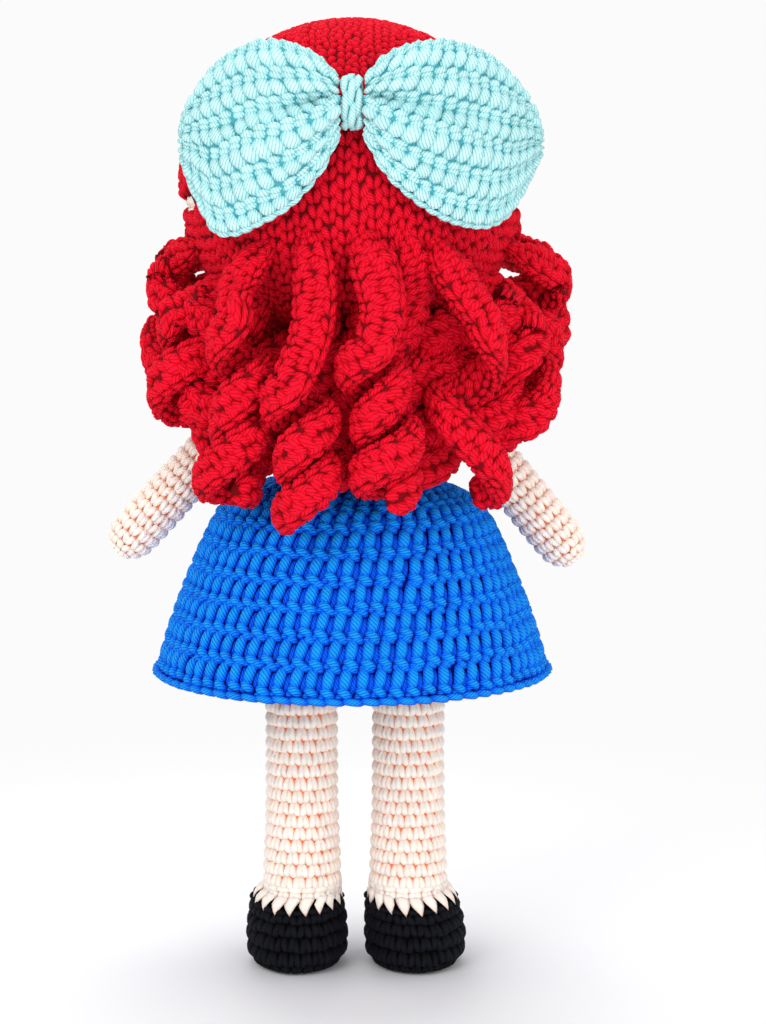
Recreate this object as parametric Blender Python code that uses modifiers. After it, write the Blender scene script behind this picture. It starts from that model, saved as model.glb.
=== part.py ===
"""A crocheted doll: stuffed body, thread-jointed arms, turning head and curled hair.

Metres, +Z up. The doll faces -Y, its left side is at +X, and it stands on the soles of its shoes.
"""
import math

import bmesh
import bpy
from mathutils import Matrix, Vector

# Fits, in metres: between pieces that touch, between layers of crochet, and round what turns or slides
FIT_GAP = 0.0003
LAYER_GAP = 0.0005
TURN_GAP = 0.0005
CUT_OVERRUN = 0.0020
MERGE_DISTANCE = 0.00001

# Walls of crocheted fabric
SKIN_WALL = 0.0020
DRESS_WALL = 0.0022
SKIRT_WALL = 0.0026
WIG_WALL = 0.0034
SHOE_WALL = 0.0022

# Shoes
SHOE_WIDTH = 0.0315
SHOE_LENGTH = 0.0430
SHOE_HEIGHT = 0.0240
SHOE_SPLAY = 0.0010
INSOLE_THICKNESS = 0.0015

# Legs, and the rods that keep them straight
LEG_RADIUS = 0.0110
LEG_LENGTH = 0.0874
LEG_SPREAD = 0.0172
ROD_RADIUS = 0.0025

# Body
HIP_HEIGHT = 0.0450
HIP_WIDTH = 0.0600
HIP_DEPTH = 0.0420
WAIST_RADIUS = 0.0207
CHEST_HEIGHT = 0.0400
COLLAR_RISE = 0.0013

# Skirt
SKIRT_LENGTH = 0.0617
HEM_RADIUS = 0.0612

# Neck, and the dowel that carries the head
NECK_RADIUS = 0.0085
NECK_RISE = 0.0045
DOWEL_RADIUS = 0.0040
DOWEL_BELOW_COLLAR = 0.0400
DOWEL_IN_HEAD = 0.0380

# Head and wig
HEAD_RADIUS = 0.0520
HEAD_HALF_HEIGHT = 0.0480
HEAD_ABOVE_COLLAR = 0.0018
WIG_FRONT_SLOPE_DEG = 24.0
WIG_BACK_SLOPE_DEG = 43.5
WIG_EDGE_RISE = 0.0012

# Arms, and the thread joint through the shoulders
SHOULDER_BELOW_COLLAR = 0.0112
ARM_RADIUS = 0.0075
ARM_REACH = 0.0725
ARM_PIVOT_INSET = 0.0030
LEFT_ARM_SPLAY_DEG = 42.6
RIGHT_ARM_SPLAY_DEG = 39.0
CORD_RADIUS = 0.0008
CORD_CLEARANCE = 0.0004
BUTTON_RADIUS = 0.0042
BUTTON_THICKNESS = 0.0022

# Face
EYE_RADIUS = 0.0045
EYE_DOME = 0.0028
EYE_STEM_RADIUS = 0.0012
EYE_STEM_LENGTH = 0.0062
EYE_SPREAD_DEG = 22.0
EYE_DROP = 0.0080
WASHER_RADIUS = 0.0050
WASHER_THICKNESS = 0.0012
NOSE_HALF_WIDTH = 0.0024
NOSE_HALF_HEIGHT = 0.0016
NOSE_DEPTH = 0.0012
NOSE_DROP = 0.0150
MOUTH_WIDTH = 0.0100
MOUTH_DIP = 0.0022
MOUTH_DROP = 0.0220
MOUTH_THREAD_RADIUS = 0.0006

# Hair: flat crocheted locks that end in corkscrew curls
LOCK_WIDTH = 0.0122
FALL_WIDTH = 0.0134
LOCK_THICKNESS = 0.0062
CURL_RADIUS = 0.0070
WAVE_RADIUS = 0.0098
HAIR_LENGTH = 0.0980
CURL_BODY_GAP = 0.0020
CURL_RING_GAP = 0.0010
WAVE_DRAW_IN = 0.0020
WIDE_SPREAD = 0.0020
LOCK_TIP_LENGTH = 0.0026
LOCK_TIP_SHARES = (0.70, 0.62)

# Bow
BOW_BAND_WIDTH = 0.0072
BOW_BAND_HEIGHT = 0.0168
BOW_BAND_DEPTH = 0.0100
BOW_BAND_BEVEL = 0.0022
BOW_CENTRE_RISE = 0.0252
LEFT_LOBE_LENGTH = 0.0500
RIGHT_LOBE_LENGTH = 0.0560
LOBE_HEIGHT = 0.0520
LOBE_THICKNESS = 0.0090
BOW_SWELL = 0.0206
BOW_BEND = 0.0487

# Facets
ROUND_STEPS = 24
WIG_ROWS = 18
BODY_STEPS = 20
LIMB_STEPS = 14
LOBE_STEPS = 18
PIN_STEPS = 10
SKIRT_STEPS = 40
SHOE_STEPS = 18
CURL_STEPS = 9
LOCK_SIDES = 6
FALL_STEPS = 3
MOUTH_STEPS = 8
BAND_BEVEL_STEPS = 3
EDGE_HALVINGS = 24
SEATING_ROUNDS = 4
EYE_DOME_LIFTS_DEG = (22.5, 45.0, 67.5, 84.0)

# Heights that follow from the sizes above
SOLE_Z = 0.0
LEG_FOOT_Z = SHOE_HEIGHT + FIT_GAP
LEG_TOP_Z = LEG_FOOT_Z + LEG_LENGTH
HIP_Z = LEG_TOP_Z + FIT_GAP
WAIST_Z = HIP_Z + HIP_HEIGHT
CHEST_TOP_Z = WAIST_Z + CHEST_HEIGHT
COLLAR_Z = CHEST_TOP_Z + COLLAR_RISE
SHOULDER_Z = COLLAR_Z - SHOULDER_BELOW_COLLAR
HEAD_Z = COLLAR_Z + HEAD_ABOVE_COLLAR + HEAD_HALF_HEIGHT
WIG_RADIUS = HEAD_RADIUS + LAYER_GAP + WIG_WALL
WIG_HALF_HEIGHT = HEAD_HALF_HEIGHT + LAYER_GAP + WIG_WALL
WIG_EDGE_Z = HEAD_Z + WIG_EDGE_RISE
BOW_Z = HEAD_Z + BOW_CENTRE_RISE

# Shapes, as shares of the sizes above: height, half width and half length, and the shift towards the toe
SHOE_SHAPE_SHARES = (
    (0.00, 0.80, 0.84, 0.14),
    (0.10, 0.94, 0.95, 0.14),
    (0.32, 1.00, 1.00, 0.14),
    (0.56, 0.98, 0.93, 0.12),
    (0.80, 0.89, 0.76, 0.06),
    (1.00, 0.74, 0.54, 0.00),
)
# Height and radius up the leg
LEG_SHAPE_SHARES = ((0.00, 1.07), (0.12, 1.05), (0.32, 0.99), (0.60, 0.97), (0.84, 1.00), (1.00, 1.03))
# Height, half width and half depth from the seat up to the waist
HIP_SHAPE_SHARES = ((0.00, 0.955, 0.82), (0.14, 1.00, 0.95), (0.42, 0.98, 1.02), (0.72, 0.83, 1.00))
# Height and radius from the waist up to the shoulders
CHEST_SHAPE_SHARES = ((0.00, 1.00), (0.32, 0.95), (0.60, 0.91), (0.84, 0.89), (0.94, 0.79), (1.00, 0.62))
# Height and radius from the hem up; the gathered top meets the bodice
SKIRT_SHAPE_SHARES = (
    (0.00, 1.00), (0.15, 0.965), (0.35, 0.90), (0.55, 0.82), (0.70, 0.755), (0.86, 0.665), (0.935, 0.55),
)
# Distance along the arm and radius: shoulder dome, taper, fuller hand
ARM_SHAPE_SHARES = (
    (-0.090, 0.42), (-0.055, 0.77), (0.00, 0.95), (0.12, 0.94), (0.32, 0.92), (0.55, 0.97), (0.75, 1.00),
    (0.90, 0.97), (0.955, 0.78), (0.99, 0.42),
)
# Distance out along a bow lobe, top edge and bottom edge against the bow's centre, thickness
LEFT_LOBE_SHARES = (
    (0.082, 0.14, -0.14, 0.62), (0.20, 0.26, -0.37, 0.86), (0.36, 0.33, -0.55, 1.00),
    (0.53, 0.345, -0.65, 1.00), (0.69, 0.29, -0.72, 0.97), (0.80, 0.22, -0.74, 0.92),
    (0.90, 0.10, -0.64, 0.84), (0.965, -0.05, -0.54, 0.70), (1.00, -0.20, -0.42, 0.50),
)
RIGHT_LOBE_SHARES = (
    (0.073, 0.14, -0.14, 0.62), (0.18, 0.26, -0.36, 0.86), (0.33, 0.33, -0.52, 1.00),
    (0.51, 0.345, -0.64, 1.00), (0.69, 0.29, -0.70, 0.97), (0.81, 0.20, -0.69, 0.92),
    (0.90, 0.09, -0.60, 0.84), (0.965, -0.07, -0.51, 0.70), (1.00, -0.22, -0.40, 0.50),
)

# The locks. Angles run round the head from the back, towards the doll's left, in degrees. Heights are
# shares of HAIR_LENGTH below the head's centre. A lock with a share for its root is sewn on the wig, and
# one with None under the wig's edge. Its curl hangs on one of the rings in curl_ring_radius. Each row is:
# name, angle of the root, share of the root, sway of the fall, angle of the curl's top, angle of its tip,
# ring, share of the curl's top, share of its tip, turns, way round (1 or -1), power that opens the turns
# lower down.
LOCKS = (
    ("a", 28.0, 0.13, 0.0, 32.0, 39.0, "outer", 0.37, 0.90, 3.0, 1, 0.82),
    ("b", 15.0, 0.09, -4.0, 16.0, 13.0, "outer", 0.57, 0.95, 2.6, 1, 1.0),
    ("c", -1.0, 0.09, 0.0, -6.0, -12.5, "outer", 0.46, 0.92, 3.3, 1, 1.0),
    ("d", -14.5, 0.07, -1.0, -20.0, -20.0, "inner", 0.46, 0.86, 2.6, 1, 1.0),
    ("e", -28.0, 0.12, 0.0, -37.0, -38.0, "wave", 0.39, 0.88, 1.45, -1, 1.0),
    ("f", 8.0, None, 0.0, 11.0, 11.0, "inner", 0.50, 0.86, 2.4, 1, 1.0),
    ("g", 39.0, None, 0.0, 44.0, 44.0, "inner", 0.50, 0.84, 2.3, 1, 1.0),
    ("h", -38.0, None, 0.0, -52.5, -52.5, "inner", 0.48, 0.73, 1.7, 1, 1.0),
    ("left_1", 53.0, None, 0.0, 62.0, 63.0, "outer", 0.39, 0.73, 2.4, 1, 1.0),
    ("left_2", 73.0, None, 0.0, 86.0, 86.0, "outer", 0.29, 0.69, 2.8, -1, 1.0),
    ("left_3", 94.0, None, 0.0, 108.0, 108.0, "outer", 0.24, 0.44, 1.4, 1, 1.0),
    ("right_1", -55.0, None, 0.0, -64.0, -66.0, "outer", 0.44, 0.78, 2.3, 1, 1.0),
    ("right_2", -73.0, None, 0.0, -87.0, -87.0, "outer", 0.28, 0.69, 2.9, -1, 1.0),
    ("right_3", -91.0, None, 0.0, -108.0, -108.0, "wide", 0.24, 0.46, 1.5, 1, 1.0),
)
# How far down the fall from root to curl the lock is guided, and how much of it turns to face the curl
FALL_GUIDE_SHARES = (0.35, 0.70)
# How late down the fall it narrows to the width of the curl
NARROWING_POWER = 3
# A curl is measured against itself from this share of a turn onwards
SELF_GAP_TURN_SHARE = 0.6

RED = (0.560, 0.004, 0.022)
SKIN = (0.930, 0.620, 0.470)
BLUE = (0.010, 0.130, 0.760)
AQUA = (0.430, 0.800, 0.790)
BLACK = (0.012, 0.012, 0.014)
WHITE_FILL = (0.850, 0.850, 0.830)
BEECH = (0.620, 0.420, 0.240)
BOARD = (0.230, 0.230, 0.240)
ROSE = (0.640, 0.170, 0.160)


def clear_scene():
    for old in list(bpy.data.objects):
        bpy.data.objects.remove(old, do_unlink=True)


def make_collection(name):
    group = bpy.data.collections.new(name)
    bpy.context.scene.collection.children.link(group)
    return group


def make_material(name, colour, roughness):
    material = bpy.data.materials.new(name)
    material.use_nodes = True
    shader = material.node_tree.nodes["Principled BSDF"]
    shader.inputs["Base Color"].default_value = (*colour, 1.0)
    shader.inputs["Roughness"].default_value = roughness
    shader.inputs["Metallic"].default_value = 0.0
    return material


def add_empty(name, place, parent=None):
    """An empty at a world place, on a joint's axis or at the doll's origin."""
    empty = bpy.data.objects.new(name, None)
    empty.empty_display_size = ARM_RADIUS
    DOLL.objects.link(empty)
    empty.location = Vector(place) - (parent_place(parent) if parent else Vector())
    empty.parent = parent
    return empty


def parent_place(parent):
    place = Vector(parent.location)
    return place + parent_place(parent.parent) if parent.parent else place


def add_piece(name, bm, colour, roughness, parent, smooth_deg=50.0):
    """Turn a bmesh that was modelled in place into a named object that hangs from its body's empty."""
    mesh = bpy.data.meshes.new(name)
    origin = parent_place(parent)
    bmesh.ops.translate(bm, verts=bm.verts, vec=-origin)
    bm.to_mesh(mesh)
    bm.free()
    mesh.shade_smooth()
    mesh.set_sharp_from_angle(angle=math.radians(smooth_deg))
    piece = bpy.data.objects.new(name, mesh)
    mesh.materials.append(make_material(name + "_finish", colour, roughness))
    DOLL.objects.link(piece)
    piece.parent = parent
    return piece


def add_cutter(name, bm, parent):
    mesh = bpy.data.meshes.new(name)
    bmesh.ops.translate(bm, verts=bm.verts, vec=-parent_place(parent))
    bm.to_mesh(mesh)
    bm.free()
    cutter = bpy.data.objects.new(name, mesh)
    CUTTERS.objects.link(cutter)
    cutter.parent = parent
    cutter.hide_render = True
    cutter.display_type = "WIRE"
    return cutter


def cut(piece, cutter):
    boolean = piece.modifiers.new("cut_" + cutter.name, "BOOLEAN")
    boolean.operation = "DIFFERENCE"
    boolean.solver = "EXACT"
    boolean.object = cutter


def add_wall(piece, thickness):
    """Give an open surface its fabric thickness, inwards."""
    wall = piece.modifiers.new("wall", "SOLIDIFY")
    wall.thickness = thickness
    wall.offset = -1.0
    wall.use_even_offset = True


def ring(centre, across, along, half_across, half_along, sides):
    """Points of an ellipse. across x along points the way that a loft travels."""
    points = []
    for i in range(sides):
        turn = 2.0 * math.pi * i / sides
        reach = across * (half_across * math.cos(turn)) + along * (half_along * math.sin(turn))
        points.append(centre + reach)
    return points


def loft(rings, close_start=True, close_end=True):
    bm = bmesh.new()
    loops = [[bm.verts.new(point) for point in points] for points in rings]
    sides = len(rings[0])
    for below, above in zip(loops, loops[1:]):
        for i in range(sides):
            j = (i + 1) % sides
            bm.faces.new((below[i], below[j], above[j], above[i]))
    if close_start:
        bm.faces.new(list(reversed(loops[0])))
    if close_end:
        bm.faces.new(loops[-1])
    bm.normal_update()
    return bm


def level_rings(levels, sides, centre=(0.0, 0.0)):
    """Level ellipses from (height, half width, half depth, shift in x, shift in y)."""
    rings = []
    for height, half_width, half_depth, shift_x, shift_y in levels:
        middle = Vector((centre[0] + shift_x, centre[1] + shift_y, height))
        rings.append(ring(middle, Vector((1, 0, 0)), Vector((0, 1, 0)), half_width, half_depth, sides))
    return rings


def round_levels(profile):
    return [(height, radius, radius, 0.0, 0.0) for height, radius in profile]


def offset_faces(bm, distance):
    """Move a surface along its normals, keeping the distance even at corners; minus is inwards."""
    bm.normal_update()
    moves = [vert.normal * (distance * vert.calc_shell_factor()) for vert in bm.verts]
    for vert, move in zip(bm.verts, moves):
        vert.co += move
    return bm


def cylinder(start, end, radius, steps=PIN_STEPS):
    """A closed rod between two points."""
    start = Vector(start)
    end = Vector(end)
    axis = end - start
    place = Matrix.Translation((start + end) / 2) @ axis.to_track_quat("Z", "Y").to_matrix().to_4x4()
    bm = bmesh.new()
    bmesh.ops.create_cone(
        bm, cap_ends=True, segments=steps, radius1=radius, radius2=radius, depth=axis.length, matrix=place,
    )
    return bm


def split_at_plane(bm, point, normal, clear_outer=False):
    """Cut a surface along a plane, and give back the edges and corners of the cut."""
    everything = list(bm.verts) + list(bm.edges) + list(bm.faces)
    split = bmesh.ops.bisect_plane(
        bm,
        geom=everything,
        dist=MERGE_DISTANCE,
        plane_co=Vector(point),
        plane_no=Vector(normal),
        clear_outer=clear_outer,
    )
    return split["geom_cut"]


def trim(bm, point, normal):
    """Cut off what lies beyond a plane, on the side that the normal points to."""
    cut_line = split_at_plane(bm, point, normal, clear_outer=True)
    edges = [part for part in cut_line if isinstance(part, bmesh.types.BMEdge)]
    bmesh.ops.contextual_create(bm, geom=edges)
    bmesh.ops.recalc_face_normals(bm, faces=bm.faces)
    return bm


def turned(name, profile, steps, colour, roughness, parent):
    """A turned shape: a profile of (radius, height) down its outer side, with a Screw modifier."""
    bm = bmesh.new()
    verts = [bm.verts.new((radius, 0.0, height)) for radius, height in profile]
    for first, second in zip(verts, verts[1:]):
        bm.edges.new((first, second))
    piece = add_piece(name, bm, colour, roughness, parent)
    screw = piece.modifiers.new("turn", "SCREW")
    screw.axis = "Z"
    screw.steps = steps
    screw.render_steps = steps
    screw.use_merge_vertices = True
    screw.merge_threshold = MERGE_DISTANCE
    screw.use_normal_calculate = True
    return piece


def ellipsoid_profile(radius, half_height, from_deg, to_deg, steps):
    """Points down the outer side of an ellipsoid round (0, 0, HEAD_Z), by angle from its top."""
    points = []
    for i in range(steps + 1):
        angle = math.radians(from_deg + (to_deg - from_deg) * i / steps)
        across = 0.0 if i == 0 and from_deg == 0 else radius * math.sin(angle)
        points.append((across, HEAD_Z + half_height * math.cos(angle)))
    return points


def radius_at(height, radius, half_height):
    """Radius of an ellipsoid round the head's centre at a height."""
    share = 1.0 - ((height - HEAD_Z) / half_height) ** 2
    return radius * math.sqrt(share) if share > 0.0 else 0.0


def head_radius_at(height):
    return radius_at(height, HEAD_RADIUS, HEAD_HALF_HEIGHT)


def wig_radius_at(height):
    return radius_at(height, WIG_RADIUS, WIG_HALF_HEIGHT)


def wig_slope_at(angle):
    """How steeply the wig's edge falls towards the back: gently over the forehead, steeply to the nape."""
    return math.tan(math.radians(WIG_BACK_SLOPE_DEG if math.cos(angle) > 0.0 else WIG_FRONT_SLOPE_DEG))


def wig_edge_at(angle):
    """Height of the wig's lower edge on the head, at an angle round from the back, found by halving."""
    low = HEAD_Z - HEAD_HALF_HEIGHT
    high = HEAD_Z + HEAD_HALF_HEIGHT
    for _ in range(EDGE_HALVINGS):
        height = (low + high) / 2
        if height + wig_slope_at(angle) * head_radius_at(height) * math.cos(angle) > WIG_EDGE_Z:
            high = height
        else:
            low = height
    return height


def outward(angle):
    """Level direction at an angle round from the back, towards the doll's left."""
    return Vector((math.sin(angle), math.cos(angle), 0.0))


def smooth_route(points, steps):
    """A smooth curve through chosen points, with a few steps between each two."""
    ends = [points[0] * 2 - points[1], *points, points[-1] * 2 - points[-2]]
    route = []
    for i in range(len(points) - 1):
        before, first, second, after = ends[i:i + 4]
        bend = 2 * before - 5 * first + 4 * second - after
        twist = 3 * first - before - 3 * second + after
        for k in range(steps):
            t = k / steps
            route.append(first + ((second - before) * t + bend * t ** 2 + twist * t ** 3) / 2)
    route.append(points[-1].copy())
    return route


def shoe_levels(side):
    levels = []
    for height, width, length, shift in SHOE_SHAPE_SHARES:
        half_width = SHOE_WIDTH / 2 * width
        half_length = SHOE_LENGTH / 2 * length
        outward_shift = side * SHOE_SPLAY * (1.0 - height)
        levels.append((SHOE_HEIGHT * height, half_width, half_length, outward_shift, -SHOE_LENGTH * shift))
    return levels


def make_shoe(side_name, side):
    """Crocheted shoe with a flat sole, the stiff insole in it, and the filling over that."""
    middle = (side * LEG_SPREAD, 0.0)
    rings = level_rings(shoe_levels(side), SHOE_STEPS, middle)
    shoe = add_piece(side_name + "_shoe", loft(rings, close_end=False), BLACK, 0.85, BODY)
    add_wall(shoe, SHOE_WALL)
    insole_floor = SHOE_WALL + FIT_GAP
    insole_top = insole_floor + INSOLE_THICKNESS
    inner = offset_faces(loft(rings), -(SHOE_WALL + LAYER_GAP))
    trim(inner, (0, 0, insole_top), (0, 0, 1))
    trim(inner, (0, 0, insole_floor), (0, 0, -1))
    add_piece(side_name + "_insole", inner, BOARD, 0.6, BODY)
    filling = offset_faces(loft(rings), -(SHOE_WALL + LAYER_GAP))
    trim(filling, (0, 0, insole_top + FIT_GAP), (0, 0, -1))
    stuffing = add_piece(side_name + "_shoe_stuffing", filling, WHITE_FILL, 0.95, BODY)
    cut(stuffing, ROD_HOLES[side_name])


def make_leg(side_name, side):
    """Straight crocheted tube, its filling, and the rod that stands on the insole inside it."""
    middle = (side * LEG_SPREAD, 0.0)
    profile = [(LEG_FOOT_Z + LEG_LENGTH * height, LEG_RADIUS * radius) for height, radius in LEG_SHAPE_SHARES]
    rings = level_rings(round_levels(profile), LIMB_STEPS, middle)
    leg = add_piece(side_name + "_leg", loft(rings, False, False), SKIN, 0.9, BODY)
    add_wall(leg, SKIN_WALL)
    inner = [(height, radius - SKIN_WALL - LAYER_GAP) for height, radius in profile]
    inner[-1] = (LEG_TOP_Z - FIT_GAP, inner[-1][1])
    filling = loft(level_rings(round_levels(inner), LIMB_STEPS, middle))
    stuffing = add_piece(side_name + "_leg_stuffing", filling, WHITE_FILL, 0.95, BODY)
    cut(stuffing, ROD_HOLES[side_name])
    rod_foot = SHOE_WALL + INSOLE_THICKNESS + 2 * FIT_GAP
    rod = cylinder((*middle, rod_foot), (*middle, LEG_TOP_Z), ROD_RADIUS)
    add_piece(side_name + "_leg_rod", rod, BEECH, 0.6, BODY)


def make_rod_hole(side_name, side):
    middle = (side * LEG_SPREAD, 0.0)
    top = LEG_TOP_Z + CUT_OVERRUN
    hole = cylinder((*middle, SOLE_Z), (*middle, top), ROD_RADIUS + FIT_GAP)
    return add_cutter(side_name + "_rod_hole", hole, BODY)


def chest_profile():
    return [(WAIST_Z + CHEST_HEIGHT * height, WAIST_RADIUS * radius) for height, radius in CHEST_SHAPE_SHARES]


def torso_rings():
    levels = [
        (HIP_Z + HIP_HEIGHT * height, HIP_WIDTH / 2 * width, HIP_DEPTH / 2 * depth, 0.0, 0.0)
        for height, width, depth in HIP_SHAPE_SHARES
    ]
    levels += round_levels(chest_profile())
    levels += round_levels([(COLLAR_Z, NECK_RADIUS - SKIN_WALL / 2)])
    return level_rings(levels, BODY_STEPS)


def make_body():
    """Torso skin, its filling, and the blue bodice worked over it."""
    torso = add_piece("torso", loft(torso_rings(), close_end=False), SKIN, 0.9, BODY)
    add_wall(torso, SKIN_WALL)
    cut(torso, CORD_CHANNEL)
    filling = offset_faces(loft(torso_rings()), -(SKIN_WALL + LAYER_GAP))
    stuffing = add_piece("torso_stuffing", filling, WHITE_FILL, 0.95, BODY)
    cut(stuffing, DOWEL_HOLE)
    cut(stuffing, CORD_CHANNEL)
    bodice_surface = offset_faces(
        loft(level_rings(round_levels(chest_profile()), BODY_STEPS), False, False), LAYER_GAP + DRESS_WALL,
    )
    bodice = add_piece("bodice", bodice_surface, BLUE, 0.9, BODY)
    add_wall(bodice, DRESS_WALL)
    cut(bodice, CORD_CHANNEL)


def make_skirt():
    """Flared skirt, worked in rounds from the waist down to the hem and gathered at its top."""
    top = WAIST_Z - LAYER_GAP
    profile = [(WAIST_RADIUS + LAYER_GAP + DRESS_WALL, top)]
    for height, radius in reversed(SKIRT_SHAPE_SHARES):
        profile.append((HEM_RADIUS * radius, top - SKIRT_LENGTH * (1.0 - height)))
    skirt = turned("skirt", profile, SKIRT_STEPS, BLUE, 0.9, BODY)
    add_wall(skirt, SKIRT_WALL)


def make_neck():
    """Short crocheted neck, and the dowel through it that carries the head."""
    foot = COLLAR_Z + FIT_GAP
    top = foot + NECK_RISE
    outer = level_rings(round_levels([(foot, NECK_RADIUS), (top, NECK_RADIUS)]), BODY_STEPS)
    neck = add_piece("neck", loft(outer, False, False), SKIN, 0.9, BODY)
    add_wall(neck, SKIN_WALL)
    dowel = cylinder((0, 0, COLLAR_Z - DOWEL_BELOW_COLLAR), (0, 0, COLLAR_Z + DOWEL_IN_HEAD), DOWEL_RADIUS)
    stick = add_piece("neck_dowel", dowel, BEECH, 0.6, BODY)
    cut(stick, CORD_CHANNEL)


def arm_face_x():
    """Where the arms' flat shoulder faces lie, just off the bodice at its widest beside them."""
    lowest = SHOULDER_Z - ARM_RADIUS
    profile = chest_profile()
    for (low, wide), (high, narrow) in zip(profile, profile[1:]):
        if low <= lowest <= high:
            radius = wide + (narrow - wide) * (lowest - low) / (high - low)
            return radius + LAYER_GAP + DRESS_WALL + FIT_GAP
    return WAIST_RADIUS + LAYER_GAP + DRESS_WALL + FIT_GAP


def arm_rings(side, splay_deg):
    splay = math.radians(splay_deg)
    pivot = Vector((side * (arm_face_x() + ARM_PIVOT_INSET), 0.0, SHOULDER_Z))
    down = Vector((side * math.sin(splay), 0.0, -math.cos(splay)))
    across = Vector((0, 1, 0))
    along = down.cross(across)
    rings = []
    for distance, share in ARM_SHAPE_SHARES:
        radius = ARM_RADIUS * share
        rings.append(ring(pivot + down * (ARM_REACH * distance), across, along, radius, radius, LIMB_STEPS))
    return rings


def make_arm(side_name, side, splay_deg, body):
    """Stuffed arm, flat where it turns against the bodice, with the joint's button inside it."""
    face = side * arm_face_x()
    inwards = (-side, 0, 0)
    surface = trim(loft(arm_rings(side, splay_deg)), (face, 0, 0), inwards)
    arm = add_piece(side_name + "_arm", surface, SKIN, 0.9, body)
    add_wall(arm, SKIN_WALL)
    cut(arm, CORD_CHANNEL)
    button_face = face + side * (SKIN_WALL + LAYER_GAP)
    button_back = button_face + side * BUTTON_THICKNESS
    button = cylinder((button_face, 0, SHOULDER_Z), (button_back, 0, SHOULDER_Z), BUTTON_RADIUS, LIMB_STEPS)
    disc = add_piece(side_name + "_arm_button", button, BEECH, 0.5, body)
    cut(disc, CORD_CHANNEL)
    filling = trim(loft(arm_rings(side, splay_deg)), (face, 0, 0), inwards)
    offset_faces(filling, -(SKIN_WALL + LAYER_GAP))
    trim(filling, (button_back + side * FIT_GAP, 0, 0), inwards)
    add_piece(side_name + "_arm_stuffing", filling, WHITE_FILL, 0.95, body)


def make_joint_cord():
    """The thread from button to button, through both shoulders and the body."""
    end = arm_face_x() + SKIN_WALL + LAYER_GAP + BUTTON_THICKNESS - FIT_GAP
    cord = cylinder((-end, 0, SHOULDER_Z), (end, 0, SHOULDER_Z), CORD_RADIUS)
    add_piece("arm_joint_cord", cord, WHITE_FILL, 0.8, BODY)


def make_cord_channel():
    """The stitch holes that the joint's thread passes through, from button to button."""
    end = arm_face_x() + SKIN_WALL + LAYER_GAP + BUTTON_THICKNESS + CUT_OVERRUN
    channel = cylinder((-end, 0, SHOULDER_Z), (end, 0, SHOULDER_Z), CORD_RADIUS + CORD_CLEARANCE)
    return add_cutter("cord_channel", channel, BODY)


def make_dowel_hole():
    low = COLLAR_Z - DOWEL_BELOW_COLLAR - FIT_GAP
    high = COLLAR_Z + DOWEL_IN_HEAD + FIT_GAP
    return add_cutter("dowel_hole", cylinder((0, 0, low), (0, 0, high), DOWEL_RADIUS + TURN_GAP), BODY)


def make_head():
    """Round stuffed head, open at the neck, with a hole in its filling that turns on the dowel."""
    wall_draws_in = SKIN_WALL * NECK_RADIUS / HEAD_RADIUS
    neck_angle = 180.0 - math.degrees(math.asin((NECK_RADIUS + TURN_GAP + wall_draws_in) / HEAD_RADIUS))
    shell = ellipsoid_profile(HEAD_RADIUS, HEAD_HALF_HEIGHT, 0.0, neck_angle, ROUND_STEPS // 2)
    head = turned("head", shell, ROUND_STEPS, SKIN, 0.9, HEAD)
    add_wall(head, SKIN_WALL)
    inset = SKIN_WALL + LAYER_GAP
    fill_radius = HEAD_RADIUS - inset
    fill_half_height = HEAD_HALF_HEIGHT - inset
    flat_z = COLLAR_Z + NECK_RISE + 2 * FIT_GAP
    flat_angle = math.degrees(math.acos((flat_z - HEAD_Z) / fill_half_height))
    solid = ellipsoid_profile(fill_radius, fill_half_height, 0.0, flat_angle, ROUND_STEPS // 2)
    stuffing = turned("head_stuffing", solid + [(0.0, flat_z)], ROUND_STEPS, WHITE_FILL, 0.95, HEAD)
    cut(stuffing, DOWEL_HOLE)
    for side_name in ("left", "right"):
        cut(head, EYE_HOLES[side_name])
        cut(stuffing, EYE_POCKETS[side_name])


def make_wig():
    """Red crocheted cap over the head, its edge sloping from the forehead to the ears and on to the nape."""
    surface = bmesh.new()
    bmesh.ops.create_uvsphere(surface, u_segments=ROUND_STEPS, v_segments=WIG_ROWS, radius=WIG_RADIUS)
    bmesh.ops.scale(surface, verts=surface.verts, vec=(1.0, 1.0, WIG_HALF_HEIGHT / WIG_RADIUS))
    bmesh.ops.translate(surface, verts=surface.verts, vec=(0.0, 0.0, HEAD_Z))
    uppers = []
    for slope_deg in (WIG_FRONT_SLOPE_DEG, WIG_BACK_SLOPE_DEG):
        slope = math.radians(slope_deg)
        upper = Vector((0, math.sin(slope), math.cos(slope)))
        split_at_plane(surface, (0, 0, WIG_EDGE_Z), upper)
        uppers.append(upper)
    below = []
    for face in surface.faces:
        place = face.calc_center_median() - Vector((0, 0, WIG_EDGE_Z))
        if max(place.dot(upper) for upper in uppers) < 0.0:
            below.append(face)
    bmesh.ops.delete(surface, geom=below, context="FACES")
    wig = add_piece("hair_cap", surface, RED, 0.9, HEAD)
    add_wall(wig, WIG_WALL)


def eye_frame(side):
    """Centre of an eye on the head's surface, and the way that it looks."""
    height = HEAD_Z - EYE_DROP
    angle = math.pi - side * math.radians(EYE_SPREAD_DEG)
    point = outward(angle) * head_radius_at(height) + Vector((0, 0, height))
    level_way = Vector((point.x, point.y, 0)) / HEAD_RADIUS ** 2
    upward_way = Vector((0, 0, height - HEAD_Z)) / HEAD_HALF_HEIGHT ** 2
    return point, (level_way + upward_way).normalized()


def washer_depth():
    """How far in a flat washer sits before its rim meets the curved skin."""
    return SKIN_WALL + 2 * LAYER_GAP + WASHER_RADIUS ** 2 / (2 * (HEAD_HALF_HEIGHT - SKIN_WALL))


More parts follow.
